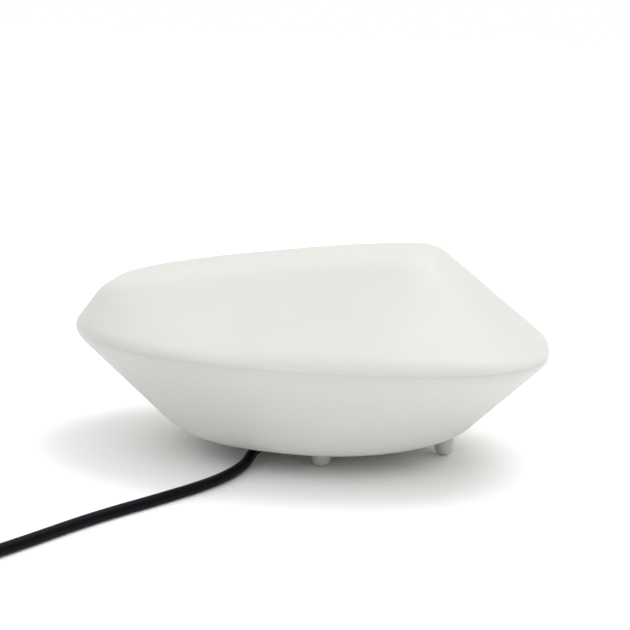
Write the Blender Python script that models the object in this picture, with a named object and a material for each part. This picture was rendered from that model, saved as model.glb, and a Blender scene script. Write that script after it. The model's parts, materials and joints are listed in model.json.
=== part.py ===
"""Receiver for satellite positioning: a two-part plastic housing on four round feet, with its
antenna stack, boards and fittings, and a fixed cable that ends in a round screw connector.

Metres, +Z up. The feet stand on z = 0, the nose points to -X and the tail to +X, and the housing
is the same on both sides of the XZ plane.
"""

from collections import namedtuple
from math import atan2, cos, pi, radians, sin, tan

import bmesh
import bpy
from mathutils import Matrix, Vector

Section = namedtuple("Section", "centre nose tail half_width nose_power tail_power")

# Housing: outlines at three heights. nose and tail are the lengths each way from centre.
BELT = Section(-0.0096, 0.0919, 0.1111, 0.0727, 1.95, 2.75)
FLOOR = Section(0.0088, 0.0617, 0.0556, 0.0509, 2.50, 1.70)
ROOF = Section(-0.0196, 0.0671, 0.0712, 0.0270, 4.60, 4.30)
FLOOR_HEIGHT = 0.0080
BELT_HEIGHT = 0.0485
ROOF_HEIGHT = 0.0803
ROOF_SLOPE = radians(8.5)
ROOF_CROWN = 0.0046
CROWN_SHARES = (0.66, 0.33)
FLOOR_ROUNDING = 0.0107
BELT_ROUNDING = 0.0043
ROOF_ROUNDING = 0.0034
WALL_SIDE = 0.0036
WALL_FLAT = 0.0028
OUTLINE_POINTS = 48
ROUND_SEGMENTS = 16

# Band inside the rim, which follows the walls above and below the seam
GASKET_THICKNESS = 0.0012
GASKET_WIDTH = 0.0060

# Fits
GAP = 0.0003
CLEARANCE = 0.0006

# Feet
FOOT_RADIUS = 0.0040
FOOT_TIP_RADIUS = 0.0018
FOOT_DOME_STEPS = 4
FOOT_FLANGE_RADIUS = 0.0060
FOOT_FLANGE_THICKNESS = 0.0020
FOOT_PAD_RADIUS = 0.0076
FOOT_PAD_HEIGHT = 0.0032
FOOT_TAIL_INSET = 0.0051
FOOT_NOSE_INSET = 0.0153
FOOT_SIDE_INSET = 0.0213
FOOT_SIDE_X = 0.0109

# Screws that hold the two halves together
POST_RADIUS = 0.0052
POST_TAIL_X = 0.0420
POST_TAIL_INSET = 0.0289
POST_NOSE_X = -0.0280
POST_NOSE_INSET = 0.0229
SCREW_RADIUS = 0.0015
SCREW_HEAD_RADIUS = 0.00275
SCREW_HEAD_HEIGHT = 0.0030
SCREW_GRIP = 0.0080
SCREW_BITE = 0.0060
SCREW_BORE_RADIUS = 0.0035
INSERT_RADIUS = 0.0024
INSERT_LENGTH = 0.0065
PLUG_LENGTH = 0.0026

# Boards and antenna
STANDOFF_RADIUS = 0.0034
STANDOFF_HEIGHT = 0.0120
STANDOFF_TAIL_X = 0.0260
STANDOFF_NOSE_X = -0.0120
STANDOFF_Y = 0.0258
BOARD_NOSE_X = -0.0400
BOARD_TAIL_X = 0.0480
BOARD_HALF_WIDTH = 0.0330
BOARD_THICKNESS = 0.0016
PILLAR_FLAT = 0.0025
PILLAR_LENGTH = 0.0245
PILLAR_SCREW_RADIUS = 0.00125
PILLAR_TAPPED_DEPTH = 0.0060
PAN_HEAD_RADIUS = 0.0022
PAN_HEAD_HEIGHT = 0.0016
PLANE_CENTRE_X = 0.0070
PLANE_MARGIN = 0.0010
PLANE_THICKNESS = 0.0012
PATCH_LOWER_SIDE = 0.0410
PATCH_LOWER_HEIGHT = 0.0040
PATCH_UPPER_SIDE = 0.0280
PATCH_UPPER_HEIGHT = 0.0040
FEED_RADIUS = 0.0005
FEED_OFFSET = 0.0050
SHIELD_SIZE = (0.0340, 0.0260, 0.0040)
SOCKET_SIZE = (0.0080, 0.0130, 0.0060)
SOCKET_OFFSET = 0.0125

# Cable outlet under the floor
OUTLET_X = -0.0152
OUTLET_Y = -0.0020
OUTLET_HEADING = radians(-94.0)
OUTLET_RADIUS = 0.0060
OUTLET_BODY_BASE = 0.0009
OUTLET_TOP_EDGE = 0.0008
OUTLET_LOW_EDGE = 0.0014
NECK_RADIUS = 0.0032
NECK_TOP = 0.0175
OUTLET_NUT_FLAT = 0.0060
OUTLET_NUT_HEIGHT = 0.0030
WASHER_HEIGHT = 0.0008
RELIEF_LENGTH = 0.0200
RELIEF_ROOT_LENGTH = 0.0035
RELIEF_ROOT_WALL = 0.00115
RELIEF_TIP_WALL = 0.00055
RELIEF_ROOM = 0.0004

# Vent under the floor
VENT_X = 0.0300
VENT_CAP_RADIUS = 0.0060
VENT_CAP_HEIGHT = 0.0016
VENT_EDGE = 0.0004
VENT_STEM_RADIUS = 0.0025

# Cable
CABLE_RADIUS = 0.00215
CABLE_STRAIGHT = 0.0015
ROUTE_SPACING = 0.0050
LEAD_RADIUS = 0.0017
LEAD_SPACING = 0.0020
JUMPER_RADIUS = 0.0009
COIL_MEAN_RADIUS = 0.0253
WINDING_ROOM = 0.00005
COIL_PITCH = 2 * CABLE_RADIUS + WINDING_ROOM
COIL_COLUMNS = 4
COIL_LAYERS = 4
COIL_BASE = 0.0016
COIL_EXIT = pi
TIE_ANGLE = radians(75.0)
TIE_WIDTH = 0.0120
TIE_THICKNESS = 0.0012
TAIL_LENGTH = 0.0330
TAIL_SPACING = 0.0030

# Route of the cable from the strain relief to the coil: x, y and the room under the cable
CABLE_ROUTE = [
    (-0.0171, -0.0286, 0.00215),
    (-0.0174, -0.0340, 0.00125),
    (-0.0181, -0.0410, 0.00035),
    (-0.0192, -0.0480, 0.00005),
    (-0.0210, -0.0555, 0.00005),
    (-0.0236, -0.0630, 0.00005),
    (-0.0272, -0.0710, 0.00005),
    (-0.0319, -0.0795, 0.00005),
    (-0.0377, -0.0888, 0.00005),
    (-0.0443, -0.0990, 0.00005),
    (-0.0510, -0.1090, 0.00005),
    (-0.0573, -0.1190, 0.00005),
    (-0.0630, -0.1290, 0.00005),
    (-0.0683, -0.1390, 0.00005),
    (-0.0736, -0.1490, 0.00005),
    (-0.0790, -0.1590, 0.00015),
    (-0.0846, -0.1695, 0.00075),
    (-0.0902, -0.1800, 0.00165),
]

# Connector on the cable's end, along its own axis from the boot's root
CONNECTOR_AXIS_HEIGHT = 0.0075
BOOT_LENGTH = 0.0200
BOOT_TIP_RADIUS = 0.0030
BOOT_ROOT_RADIUS = 0.0052
BOOT_ROOT_LENGTH = 0.0040
SHELL_RADIUS = 0.0062
SHELL_LENGTH = 0.0240
SHELL_EDGE = 0.0010
COLLAR_RADIUS = 0.0045
COLLAR_LENGTH = 0.0120
LIP_RADIUS = 0.0054
LIP_LENGTH = 0.0016
SOCKET_RADIUS = 0.0037
SOCKET_DEPTH = 0.0090
PIN_COUNT = 4
PIN_RADIUS = 0.00045
PIN_CIRCLE = 0.0023
PIN_SINK = 0.0010
PIN_INSERT_HEIGHT = 0.0030
NUT_RADIUS = 0.0074
NUT_KNURL_DEPTH = 0.00035
NUT_KNURLS = 18
NUT_LENGTH = 0.0140
NUT_LAND = 0.0050
NUT_EDGE = 0.0006

FLOOR_INSIDE = FLOOR_HEIGHT + WALL_FLAT
OUTLET_AXIS_HEIGHT = FLOOR_HEIGHT - RELIEF_ROOM - RELIEF_ROOT_WALL - CABLE_RADIUS
BOARD_BASE = FLOOR_HEIGHT + STANDOFF_HEIGHT + GAP
BOARD_TOP = BOARD_BASE + BOARD_THICKNESS
PILLAR_BASE = BOARD_TOP + GAP
PILLAR_TOP = PILLAR_BASE + PILLAR_LENGTH
PLANE_BASE = PILLAR_TOP + GAP
PLANE_TOP = PLANE_BASE + PLANE_THICKNESS
PATCH_LOWER_BASE = PLANE_TOP + GAP
PATCH_UPPER_BASE = PATCH_LOWER_BASE + PATCH_LOWER_HEIGHT + GAP
SCREW_SEAT = BELT_HEIGHT - SCREW_GRIP
OUTLET = Vector((OUTLET_X, OUTLET_Y))
VENT = Vector((VENT_X, 0.0))


def clear_scene():
    for obj in list(bpy.data.objects):
        bpy.data.objects.remove(obj, do_unlink=True)


def make_collection(name):
    collection = bpy.data.collections.new(name)
    bpy.context.scene.collection.children.link(collection)
    return collection


def make_material(name, color, roughness, metallic=0.0):
    material = bpy.data.materials.new(name)
    material.use_nodes = True
    shader = material.node_tree.nodes["Principled BSDF"]
    shader.inputs["Base Color"].default_value = (*color, 1.0)
    shader.inputs["Roughness"].default_value = roughness
    shader.inputs["Metallic"].default_value = metallic
    material.diffuse_color = (*color, 1.0)
    return material


class Maker:
    """Puts finished pieces in one collection and cutters in another."""

    def __init__(self):
        self.parts = make_collection("gnss_receiver")
        self.cutters = make_collection("cutters")

    def part(self, name, shape, look, matrix=None):
        obj = self._object(name, shape, self.parts, matrix)
        color, roughness, metallic = look
        obj.data.materials.append(make_material(name, color, roughness, metallic))
        return obj

    def copies(self, name, shaper, places, look):
        """One piece at each place, numbered from 1. shaper returns a new shape each time."""
        for number, place in enumerate(places, 1):
            self.part(f"{name}_{number}", shaper(), look, Matrix.Translation(place.to_3d()))

    def cutter(self, name, shape):
        obj = self._object(name, shape, self.cutters, None)
        obj.hide_render = True
        obj.display_type = "WIRE"
        return obj

    def _object(self, name, shape, collection, matrix):
        mesh = bpy.data.meshes.new(name)
        bmesh.ops.recalc_face_normals(shape, faces=shape.faces)
        shape.to_mesh(mesh)
        shape.free()
        mesh.shade_smooth()
        mesh.set_sharp_from_angle(angle=radians(35.0))
        obj = bpy.data.objects.new(name, mesh)
        if matrix is not None:
            obj.matrix_world = matrix
        collection.objects.link(obj)
        return obj


def cut(obj, cutter, name):
    modifier = obj.modifiers.new(name, "BOOLEAN")
    modifier.operation = "DIFFERENCE"
    modifier.solver = "EXACT"
    modifier.object = cutter


# Shapes. Each adds one closed solid to a bmesh.


def add_cylinder(shape, centre, low, high, radius, segments=ROUND_SEGMENTS):
    matrix = Matrix.Translation((centre[0], centre[1], (low + high) / 2))
    bmesh.ops.create_cone(
        shape, cap_ends=True, segments=segments, radius1=radius, radius2=radius,
        depth=high - low, matrix=matrix,
    )


def add_box(shape, centre, low, high, size_x, size_y):
    matrix = Matrix.Translation((centre[0], centre[1], (low + high) / 2))
    scale = Matrix.Diagonal((size_x, size_y, high - low, 1.0))
    bmesh.ops.create_cube(shape, size=1.0, matrix=matrix @ scale)


def add_turned(shape, profile, matrix=None, segments=ROUND_SEGMENTS):
    """A profile of (radius, height) points, from one end on the axis to the other, turned round Z."""
    verts = [shape.verts.new((radius, 0.0, height)) for radius, height in profile]
    edges = [shape.edges.new(pair) for pair in zip(verts[:-1], verts[1:])]
    turned = bmesh.ops.spin(
        shape, geom=verts + edges, cent=(0, 0, 0), axis=(0, 0, 1), angle=2 * pi,
        steps=segments, use_merge=True, use_duplicate=False,
    )
    made = {v for v in turned["geom_last"] if isinstance(v, bmesh.types.BMVert)}
    made |= {v for edge in edges if edge.is_valid for v in edge.verts}
    island = grow_island(made)
    bmesh.ops.remove_doubles(shape, verts=list(island), dist=1e-6)
    if matrix is not None:
        island = grow_island({v for v in island if v.is_valid})
        bmesh.ops.transform(shape, matrix=matrix, verts=list(island))


def grow_island(verts):
    """All vertices joined to the given ones by edges."""
    found = set(verts)
    front = list(verts)
    while front:
        vert = front.pop()
        for edge in vert.link_edges:
            other = edge.other_vert(vert)
            if other not in found:
                found.add(other)
                front.append(other)
    return found


def add_pipe(shape, outer, inner, low, high, centre=(0.0, 0.0), segments=ROUND_SEGMENTS):
    profile = [(inner, high), (outer, high), (outer, low), (inner, low), (inner, high)]
    add_turned(shape, profile, Matrix.Translation((centre[0], centre[1], 0.0)), segments)


def solid(adder, *args, **options):
    shape = bmesh.new()
    adder(shape, *args, **options)
    return shape


# Housing surface


def signed_power(value, power):
    return abs(value) ** power * (1 if value >= 0 else -1)


def outline_point(section, angle, inset=0.0):
    toward_tail = cos(angle) >= 0
    reach = (section.tail if toward_tail else section.nose) - inset
    power = section.tail_power if toward_tail else section.nose_power
    across = section.half_width - inset
    return Vector((
        section.centre + reach * signed_power(cos(angle), 2 / power),
        across * signed_power(sin(angle), 2 / power),
    ))


def roof_height(x):
    return ROOF_HEIGHT + tan(ROOF_SLOPE) * x


def corner_curve(before, corner, after, reach, steps):
    """Points of a rounded corner, from the side of before to the side of after."""
    start = corner + (before - corner).normalized() * min(reach, (before - corner).length * 0.45)
    end = corner + (after - corner).normalized() * min(reach, (after - corner).length * 0.45)
    shares = [step / (steps - 1) for step in range(steps)]
    return [start * (1 - s) ** 2 + corner * 2 * s * (1 - s) + end * s * s for s in shares]


def housing_corners(angle, inset=0.0, lift=0.0):
    """Where the section at one angle turns: floor centre, floor edge, belt edge, roof edge, roof centre."""
    floor_edge = outline_point(FLOOR, angle, inset).to_3d()
    floor_edge.z = FLOOR_HEIGHT + lift
    belt_edge = outline_point(BELT, angle, inset).to_3d()
    belt_edge.z = BELT_HEIGHT
    roof_edge = outline_point(ROOF, angle, inset).to_3d()
    roof_edge.z = roof_height(roof_edge.x) - lift
    floor_hub = Vector((FLOOR.centre, 0.0, FLOOR_HEIGHT + lift))
    roof_hub = Vector((ROOF.centre, 0.0, roof_height(ROOF.centre) - lift))
    return floor_hub, floor_edge, belt_edge, roof_edge, roof_hub


def angles():
    return [2 * pi * (k + 0.5) / OUTLINE_POINTS for k in range(OUTLINE_POINTS)]


def lower_column(angle, inset, lift, top):
    hub, floor_edge, belt_edge, roof_edge, _ = housing_corners(angle, inset, lift)
    column = corner_curve(hub, floor_edge, belt_edge, FLOOR_ROUNDING, 5)
    turn = corner_curve(floor_edge, belt_edge, roof_edge, BELT_ROUNDING, 5)
    column += turn[:2]
    rim = turn[2].copy()
    rim.z = top
    return column + [rim]


def upper_column(angle, inset, lift, base):
    _, floor_edge, belt_edge, roof_edge, hub = housing_corners(angle, inset, lift)
    turn = corner_curve(floor_edge, belt_edge, roof_edge, BELT_ROUNDING, 5)
    rim = turn[2].copy()
    rim.z = base
    column = [rim] + turn[3:]
    column += corner_curve(belt_edge, roof_edge, hub, ROOF_ROUNDING, 3)
    flat_edge = column[-1].copy()
    for share in CROWN_SHARES:
        point = hub.lerp(flat_edge, share)
        point.z += ROOF_CROWN * (1 - share * share)
        column.append(point)
    return column


def add_loft(shape, columns, closing_point=None):
    """Skins rings of points, one ring for each place along the columns, and closes both ends."""
    rows = [[shape.verts.new(point) for point in row] for row in zip(*columns)]
    count = len(rows[0])
    for lower, upper in zip(rows[:-1], rows[1:]):
        for k in range(count):
            after = (k + 1) % count
            shape.faces.new((lower[k], lower[after], upper[after], upper[k]))
    shape.faces.new(list(reversed(rows[0])))
    if closing_point is None:
        shape.faces.new(rows[-1])
        return
    tip = shape.verts.new(closing_point)
    for k in range(count):
        shape.faces.new((rows[-1][k], rows[-1][(k + 1) % count], tip))


def add_lower_body(shape):
    top = BELT_HEIGHT - GAP / 2
    add_loft(shape, [lower_column(angle, 0.0, 0.0, top) for angle in angles()])


def add_lower_cavity(shape):
    columns = []
    for angle in angles():
        column = lower_column(angle, WALL_SIDE, WALL_FLAT, BELT_HEIGHT)
        above = column[-1] + Vector((0.0, 0.0, WALL_FLAT))
        columns.append(column + [above])
    add_loft(shape, columns)


def crown_tip(lift):
    return Vector((ROOF.centre, 0.0, roof_height(ROOF.centre) - lift + ROOF_CROWN))


def add_upper_body(shape):
    base = BELT_HEIGHT + GAP / 2
    columns = [upper_column(angle, 0.0, 0.0, base) for angle in angles()]
    add_loft(shape, columns, crown_tip(0.0))


def add_upper_cavity(shape):
    columns = []
    for angle in angles():
        column = upper_column(angle, WALL_SIDE, WALL_FLAT, BELT_HEIGHT)
        below = column[0] - Vector((0.0, 0.0, WALL_FLAT))
        columns.append([below] + column)
    add_loft(shape, columns, crown_tip(WALL_FLAT))


# Places that several pieces share


def foot_places():
    side_y = FLOOR.half_width - FOOT_SIDE_INSET
    return {
        "foot_nose": Vector((FLOOR.centre - FLOOR.nose + FOOT_NOSE_INSET, 0.0)),
        "foot_tail": Vector((FLOOR.centre + FLOOR.tail - FOOT_TAIL_INSET, 0.0)),
        "foot_left": Vector((FOOT_SIDE_X, -side_y)),
        "foot_right": Vector((FOOT_SIDE_X, side_y)),
    }


def post_places():
    tail_y = FLOOR.half_width - POST_TAIL_INSET
    nose_y = FLOOR.half_width - POST_NOSE_INSET
    return [
        Vector((x, side * y))
        for x, y in ((POST_TAIL_X, tail_y), (POST_NOSE_X, nose_y))
        for side in (-1, 1)
    ]


def standoff_places():
    return [
        Vector((x, side * STANDOFF_Y))
        for x in (STANDOFF_TAIL_X, STANDOFF_NOSE_X)
        for side in (-1, 1)
    ]


def feed_places():
    return [Vector((PLANE_CENTRE_X + offset, 0.0)) for offset in (-FEED_OFFSET, FEED_OFFSET)]


# Housing


def make_bottom_housing(maker, look):
    """The tub: posts, standoffs and foot pads stay where the cavity leaves them out."""
    solids = bmesh.new()
    for place in post_places():
        add_cylinder(solids, place, 0.0, BELT_HEIGHT + 2 * WALL_FLAT, POST_RADIUS)
    for place in standoff_places():
        add_cylinder(solids, place, 0.0, FLOOR_HEIGHT + STANDOFF_HEIGHT, STANDOFF_RADIUS)
    for place in foot_places().values():
        add_cylinder(solids, place, 0.0, FLOOR_INSIDE + FOOT_PAD_HEIGHT, FOOT_PAD_RADIUS)
    cavity = maker.cutter("lower_cavity", solid(add_lower_cavity))
    cut(cavity, maker.cutter("lower_posts", solids), "posts")

    bores = bmesh.new()
    screw_clear = SCREW_RADIUS + CLEARANCE
    for place in post_places():
        profile = [
            (0.0, BELT_HEIGHT + 2 * WALL_FLAT), (screw_clear, BELT_HEIGHT + 2 * WALL_FLAT),
            (screw_clear, SCREW_SEAT), (SCREW_BORE_RADIUS, SCREW_SEAT),
            (SCREW_BORE_RADIUS, 0.0), (0.0, 0.0),
        ]
        add_turned(bores, profile, Matrix.Translation(place.to_3d()))
    shank = FOOT_RADIUS + GAP
    flange = FOOT_FLANGE_RADIUS + CLEARANCE
    pad_top = FLOOR_INSIDE + FOOT_PAD_HEIGHT
    for place in foot_places().values():
        profile = [
            (0.0, pad_top + flange), (flange, pad_top + flange), (flange, pad_top),
            (shank, pad_top), (shank, 0.0), (0.0, 0.0),
        ]
        add_turned(bores, profile, Matrix.Translation(place.to_3d()))
    for place in standoff_places():
        hole = PILLAR_SCREW_RADIUS + GAP
        add_cylinder(bores, place, FLOOR_INSIDE, BOARD_TOP, hole, 12)
    add_cylinder(bores, OUTLET, 0.0, FLOOR_INSIDE + WALL_FLAT, NECK_RADIUS + GAP)
    add_cylinder(bores, VENT, 0.0, FLOOR_INSIDE + WALL_FLAT, VENT_STEM_RADIUS + GAP)

    housing = maker.part("bottom_housing", solid(add_lower_body), look)
    cut(housing, cavity, "cavity")
    cut(housing, maker.cutter("lower_bores", bores), "bores")


def make_top_cover(maker, look):
    posts = bmesh.new()
    for place in post_places():
        add_cylinder(posts, place, BELT_HEIGHT - 2 * WALL_FLAT, 2 * ROOF_HEIGHT, POST_RADIUS)
    cavity = maker.cutter("upper_cavity", solid(add_upper_cavity))
    cut(cavity, maker.cutter("upper_posts", posts), "posts")
    bores = bmesh.new()
    for place in post_places():
        depth = BELT_HEIGHT + INSERT_LENGTH + 4 * CLEARANCE
        add_cylinder(bores, place, BELT_HEIGHT - WALL_FLAT, depth, INSERT_RADIUS + GAP)
    cover = maker.part("top_cover", solid(add_upper_body), look)
    cut(cover, cavity, "cavity")
    cut(cover, maker.cutter("upper_bores", bores), "bores")


def wall_point(angle, inset, height):
    """On the straight line of the wall at one angle, at a height above or below the seam."""
    _, floor_edge, belt_edge, roof_edge, _ = housing_corners(angle, inset)
    far = roof_edge if height > 0 else floor_edge
    return belt_edge.lerp(far, height / (far.z - belt_edge.z))


def make_seam_gasket(maker, look):
    """A band inside the rim that covers the seam between the two halves."""
    near = WALL_SIDE + 2 * CLEARANCE
    deep = near + GASKET_THICKNESS
    half = GASKET_WIDTH / 2
    shape = bmesh.new()
    rings = [
        [shape.verts.new(wall_point(angle, inset, height)) for angle in angles()]
        for inset, height in ((deep, half), (near, half), (near, -half), (deep, -half))
    ]
    for ring, after in zip(rings, rings[1:] + rings[:1]):
        for k in range(OUTLINE_POINTS):
            other = (k + 1) % OUTLINE_POINTS
            shape.faces.new((ring[k], ring[other], after[other], after[k]))
    maker.part("seam_gasket", shape, look)


def make_feet(maker, look):
    """Round dowels with domed tips. Each goes through the floor and is held by a flange inside."""
    pad_top = FLOOR_INSIDE + FOOT_PAD_HEIGHT + GAP
    dome = []
    start = atan2(FOOT_TIP_RADIUS, FOOT_RADIUS)
    for step in range(FOOT_DOME_STEPS + 1):
        angle = start + (pi / 2 - start) * step / FOOT_DOME_STEPS
        dome.append((FOOT_RADIUS * sin(angle), FOOT_RADIUS * (1 - cos(angle))))
    sink = dome[0][1]
    profile = [
        (0.0, pad_top + FOOT_FLANGE_THICKNESS),
        (FOOT_FLANGE_RADIUS, pad_top + FOOT_FLANGE_THICKNESS),
        (FOOT_FLANGE_RADIUS, pad_top), (FOOT_RADIUS, pad_top),
    ]
    profile += [(radius, height - sink) for radius, height in reversed(dome)]
    profile += [(0.0, 0.0)]
    for name, place in foot_places().items():
        maker.part(name, solid(add_turned, profile), look, Matrix.Translation(place.to_3d()))


def make_housing_screws(maker, steel, brass, rubber):
    seat = SCREW_SEAT - GAP
    tip = BELT_HEIGHT + SCREW_BITE
    head_base = seat - SCREW_HEAD_HEIGHT
    socket = SCREW_HEAD_RADIUS / 2
    socket_top = head_base + SCREW_HEAD_HEIGHT / 2
    screw = [
        (0.0, tip), (SCREW_RADIUS, tip), (SCREW_RADIUS, seat), (SCREW_HEAD_RADIUS, seat),
        (SCREW_HEAD_RADIUS, head_base), (socket, head_base), (socket, socket_top), (0.0, socket_top),
    ]
    low = BELT_HEIGHT + 2 * GAP
    insert = (INSERT_RADIUS, SCREW_RADIUS + GAP, low, low + INSERT_LENGTH, (0.0, 0.0), 16)
    base = FLOOR_HEIGHT + GAP
    plug = ((0.0, 0.0), base, base + PLUG_LENGTH, SCREW_BORE_RADIUS - GAP, 16)
    places = post_places()
    maker.copies("housing_screw", lambda: solid(add_turned, screw, None, 16), places, steel)
    maker.copies("threaded_insert", lambda: solid(add_pipe, *insert), places, brass)
    maker.copies("screw_plug", lambda: solid(add_cylinder, *plug), places, rubber)


# Electronics


def make_main_board(maker, look):
    middle = ((BOARD_NOSE_X + BOARD_TAIL_X) / 2, 0.0)
    length = BOARD_TAIL_X - BOARD_NOSE_X
    board = maker.part(
        "main_board",
        solid(add_box, middle, BOARD_BASE, BOARD_TOP, length, 2 * BOARD_HALF_WIDTH),
        look,
    )
    holes = bmesh.new()
    low = BOARD_BASE - BOARD_THICKNESS
    high = BOARD_TOP + BOARD_THICKNESS
    for place in post_places():
        add_cylinder(holes, place, low, high, POST_RADIUS + CLEARANCE)
    for place in standoff_places():
        add_cylinder(holes, place, low, high, PILLAR_SCREW_RADIUS + GAP, 12)
    add_cylinder(holes, OUTLET, low, high, LEAD_RADIUS + 3 * CLEARANCE)
    cut(board, maker.cutter("board_holes", holes), "holes")


def make_antenna_pillars(maker, look):
    """Hexagonal pillars whose studs go through the board into the standoffs."""
    stud_end = FLOOR_INSIDE + 4 * CLEARANCE
    corner = PILLAR_FLAT / cos(pi / 6)
    tapped = PILLAR_SCREW_RADIUS + GAP
    tapped_base = PILLAR_TOP - PILLAR_TAPPED_DEPTH
    profile = [
        (0.0, tapped_base), (tapped, tapped_base), (tapped, PILLAR_TOP), (corner, PILLAR_TOP),
        (corner, PILLAR_BASE), (PILLAR_SCREW_RADIUS, PILLAR_BASE),
        (PILLAR_SCREW_RADIUS, stud_end), (0.0, stud_end),
    ]
    maker.copies(
        "antenna_pillar", lambda: solid(add_turned, profile, None, 6), standoff_places(), look
    )


def make_ground_plane(maker, look, steel):
    """A disc between the screw posts, screwed to the pillars."""
    middle = Vector((PLANE_CENTRE_X, 0.0))
    nearest = min((place - middle).length for place in post_places())
    radius = nearest - POST_RADIUS - PLANE_MARGIN
    disc = solid(add_cylinder, middle, PLANE_BASE, PLANE_TOP, radius, 36)
    plane = maker.part("ground_plane", disc, look)
    holes = bmesh.new()
    low = PLANE_BASE - PLANE_THICKNESS
    high = PLANE_TOP + PLANE_THICKNESS
    for place in standoff_places():
        add_cylinder(holes, place, low, high, PILLAR_SCREW_RADIUS + CLEARANCE, 12)
    for place in feed_places():
        add_cylinder(holes, place, low, high, FEED_RADIUS + CLEARANCE, 12)
    cut(plane, maker.cutter("plane_holes", holes), "holes")
    seat = PLANE_TOP + GAP
    end = PILLAR_TOP - PILLAR_TAPPED_DEPTH + CLEARANCE
    screw = [
        (0.0, seat + PAN_HEAD_HEIGHT), (PAN_HEAD_RADIUS * 0.6, seat + PAN_HEAD_HEIGHT),
        (PAN_HEAD_RADIUS, seat + PAN_HEAD_HEIGHT * 0.5), (PAN_HEAD_RADIUS, seat),
        (PILLAR_SCREW_RADIUS, seat), (PILLAR_SCREW_RADIUS, end), (0.0, end),
    ]
    maker.copies(
        "ground_plane_screw", lambda: solid(add_turned, screw, None, 12), standoff_places(), steel
    )


def make_patch(maker, name, base, height, side, look):
    patch = maker.part(
        name, solid(add_box, (PLANE_CENTRE_X, 0.0), base, base + height, side, side), look
    )
    holes = bmesh.new()
    for place in feed_places():
        add_cylinder(holes, place, base - height, base + 2 * height, FEED_RADIUS + GAP, 12)
    cut(patch, maker.cutter(name + "_holes", holes), "holes")


def make_antenna(maker, ceramic, gold, tin):
    make_patch(
        maker, "patch_lower", PATCH_LOWER_BASE, PATCH_LOWER_HEIGHT, PATCH_LOWER_SIDE, ceramic
    )
    make_patch(
        maker, "patch_upper", PATCH_UPPER_BASE, PATCH_UPPER_HEIGHT, PATCH_UPPER_SIDE, ceramic
    )
    top = PATCH_UPPER_BASE + PATCH_UPPER_HEIGHT + GAP
    low = PLANE_BASE - 3 * GAP
    pin = [
        (0.0, top + FEED_RADIUS), (2 * FEED_RADIUS, top + FEED_RADIUS), (2 * FEED_RADIUS, top),
        (FEED_RADIUS, top), (FEED_RADIUS, low), (0.0, low),
    ]
    maker.copies("patch_feed_pin", lambda: solid(add_turned, pin, None, 12), feed_places(), gold)
    size_x, size_y, height = SHIELD_SIZE
    top = PLANE_BASE - 4 * GAP
    shield = solid(add_box, (PLANE_CENTRE_X, 0.0), top - height, top, size_x, size_y)
    maker.part("amplifier_shield", shield, tin)


def make_chips(maker, black, tin, ferrite):
    """Parts on the board's top face: name, middle, size and look. The power parts stand halfway
    between the board connector and the nose's screw post."""
    post_edge = FLOOR.half_width - POST_NOSE_INSET - POST_RADIUS
    power_y = (OUTLET_Y + SOCKET_SIZE[1] / 2 + post_edge) / 2
    chips = [
        ("gnss_module", (0.0070, 0.0100), (0.0220, 0.0170, 0.0024), tin),
        ("processor", (0.0080, -0.0140), (0.0120, 0.0120, 0.0012), black),
        ("motion_sensor", (0.0250, -0.0020), (0.0050, 0.0050, 0.0011), black),
        ("power_converter", (-0.0270, power_y), (0.0060, 0.0060, 0.0010), black),
        ("power_inductor", (-0.0160, power_y), (0.0070, 0.0070, 0.0040), ferrite),
    ]
    base = BOARD_TOP + GAP
    for name, middle, (size_x, size_y, height), look in chips:
        maker.part(name, solid(add_box, middle, base, base + height, size_x, size_y), look)


def smooth_route(points, spacing):
    """Points about spacing apart on a smooth curve through the given ones."""
    knots = [Vector(point) for point in points]
    ends = [2 * knots[0] - knots[1]] + knots + [2 * knots[-1] - knots[-2]]
    dense = [knots[0]]
    for before, start, end, after in zip(ends, ends[1:], ends[2:], ends[3:]):
        steps = max(1, round((end - start).length / spacing))
        for step in range(1, steps + 1):
            t = step / steps
            dense.append(0.5 * (
                2 * start + (end - before) * t
                + (2 * before - 5 * start + 4 * end - after) * t * t
                + (3 * start - before - 3 * end + after) * t ** 3
            ))
    return dense


def make_tube(maker, name, points, radius, look, resolution=2):
    curve = bpy.data.curves.new(name, "CURVE")
    curve.dimensions = "3D"
    curve.bevel_depth = radius
    curve.bevel_resolution = resolution
    curve.use_fill_caps = True
    spline = curve.splines.new("POLY")
    spline.points.add(len(points) - 1)
    for point, place in zip(spline.points, points):
        point.co = (*place, 1.0)
    color, roughness, metallic = look
    curve.materials.append(make_material(name, color, roughness, metallic))
    maker.parts.objects.link(bpy.data.objects.new(name, curve))


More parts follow.
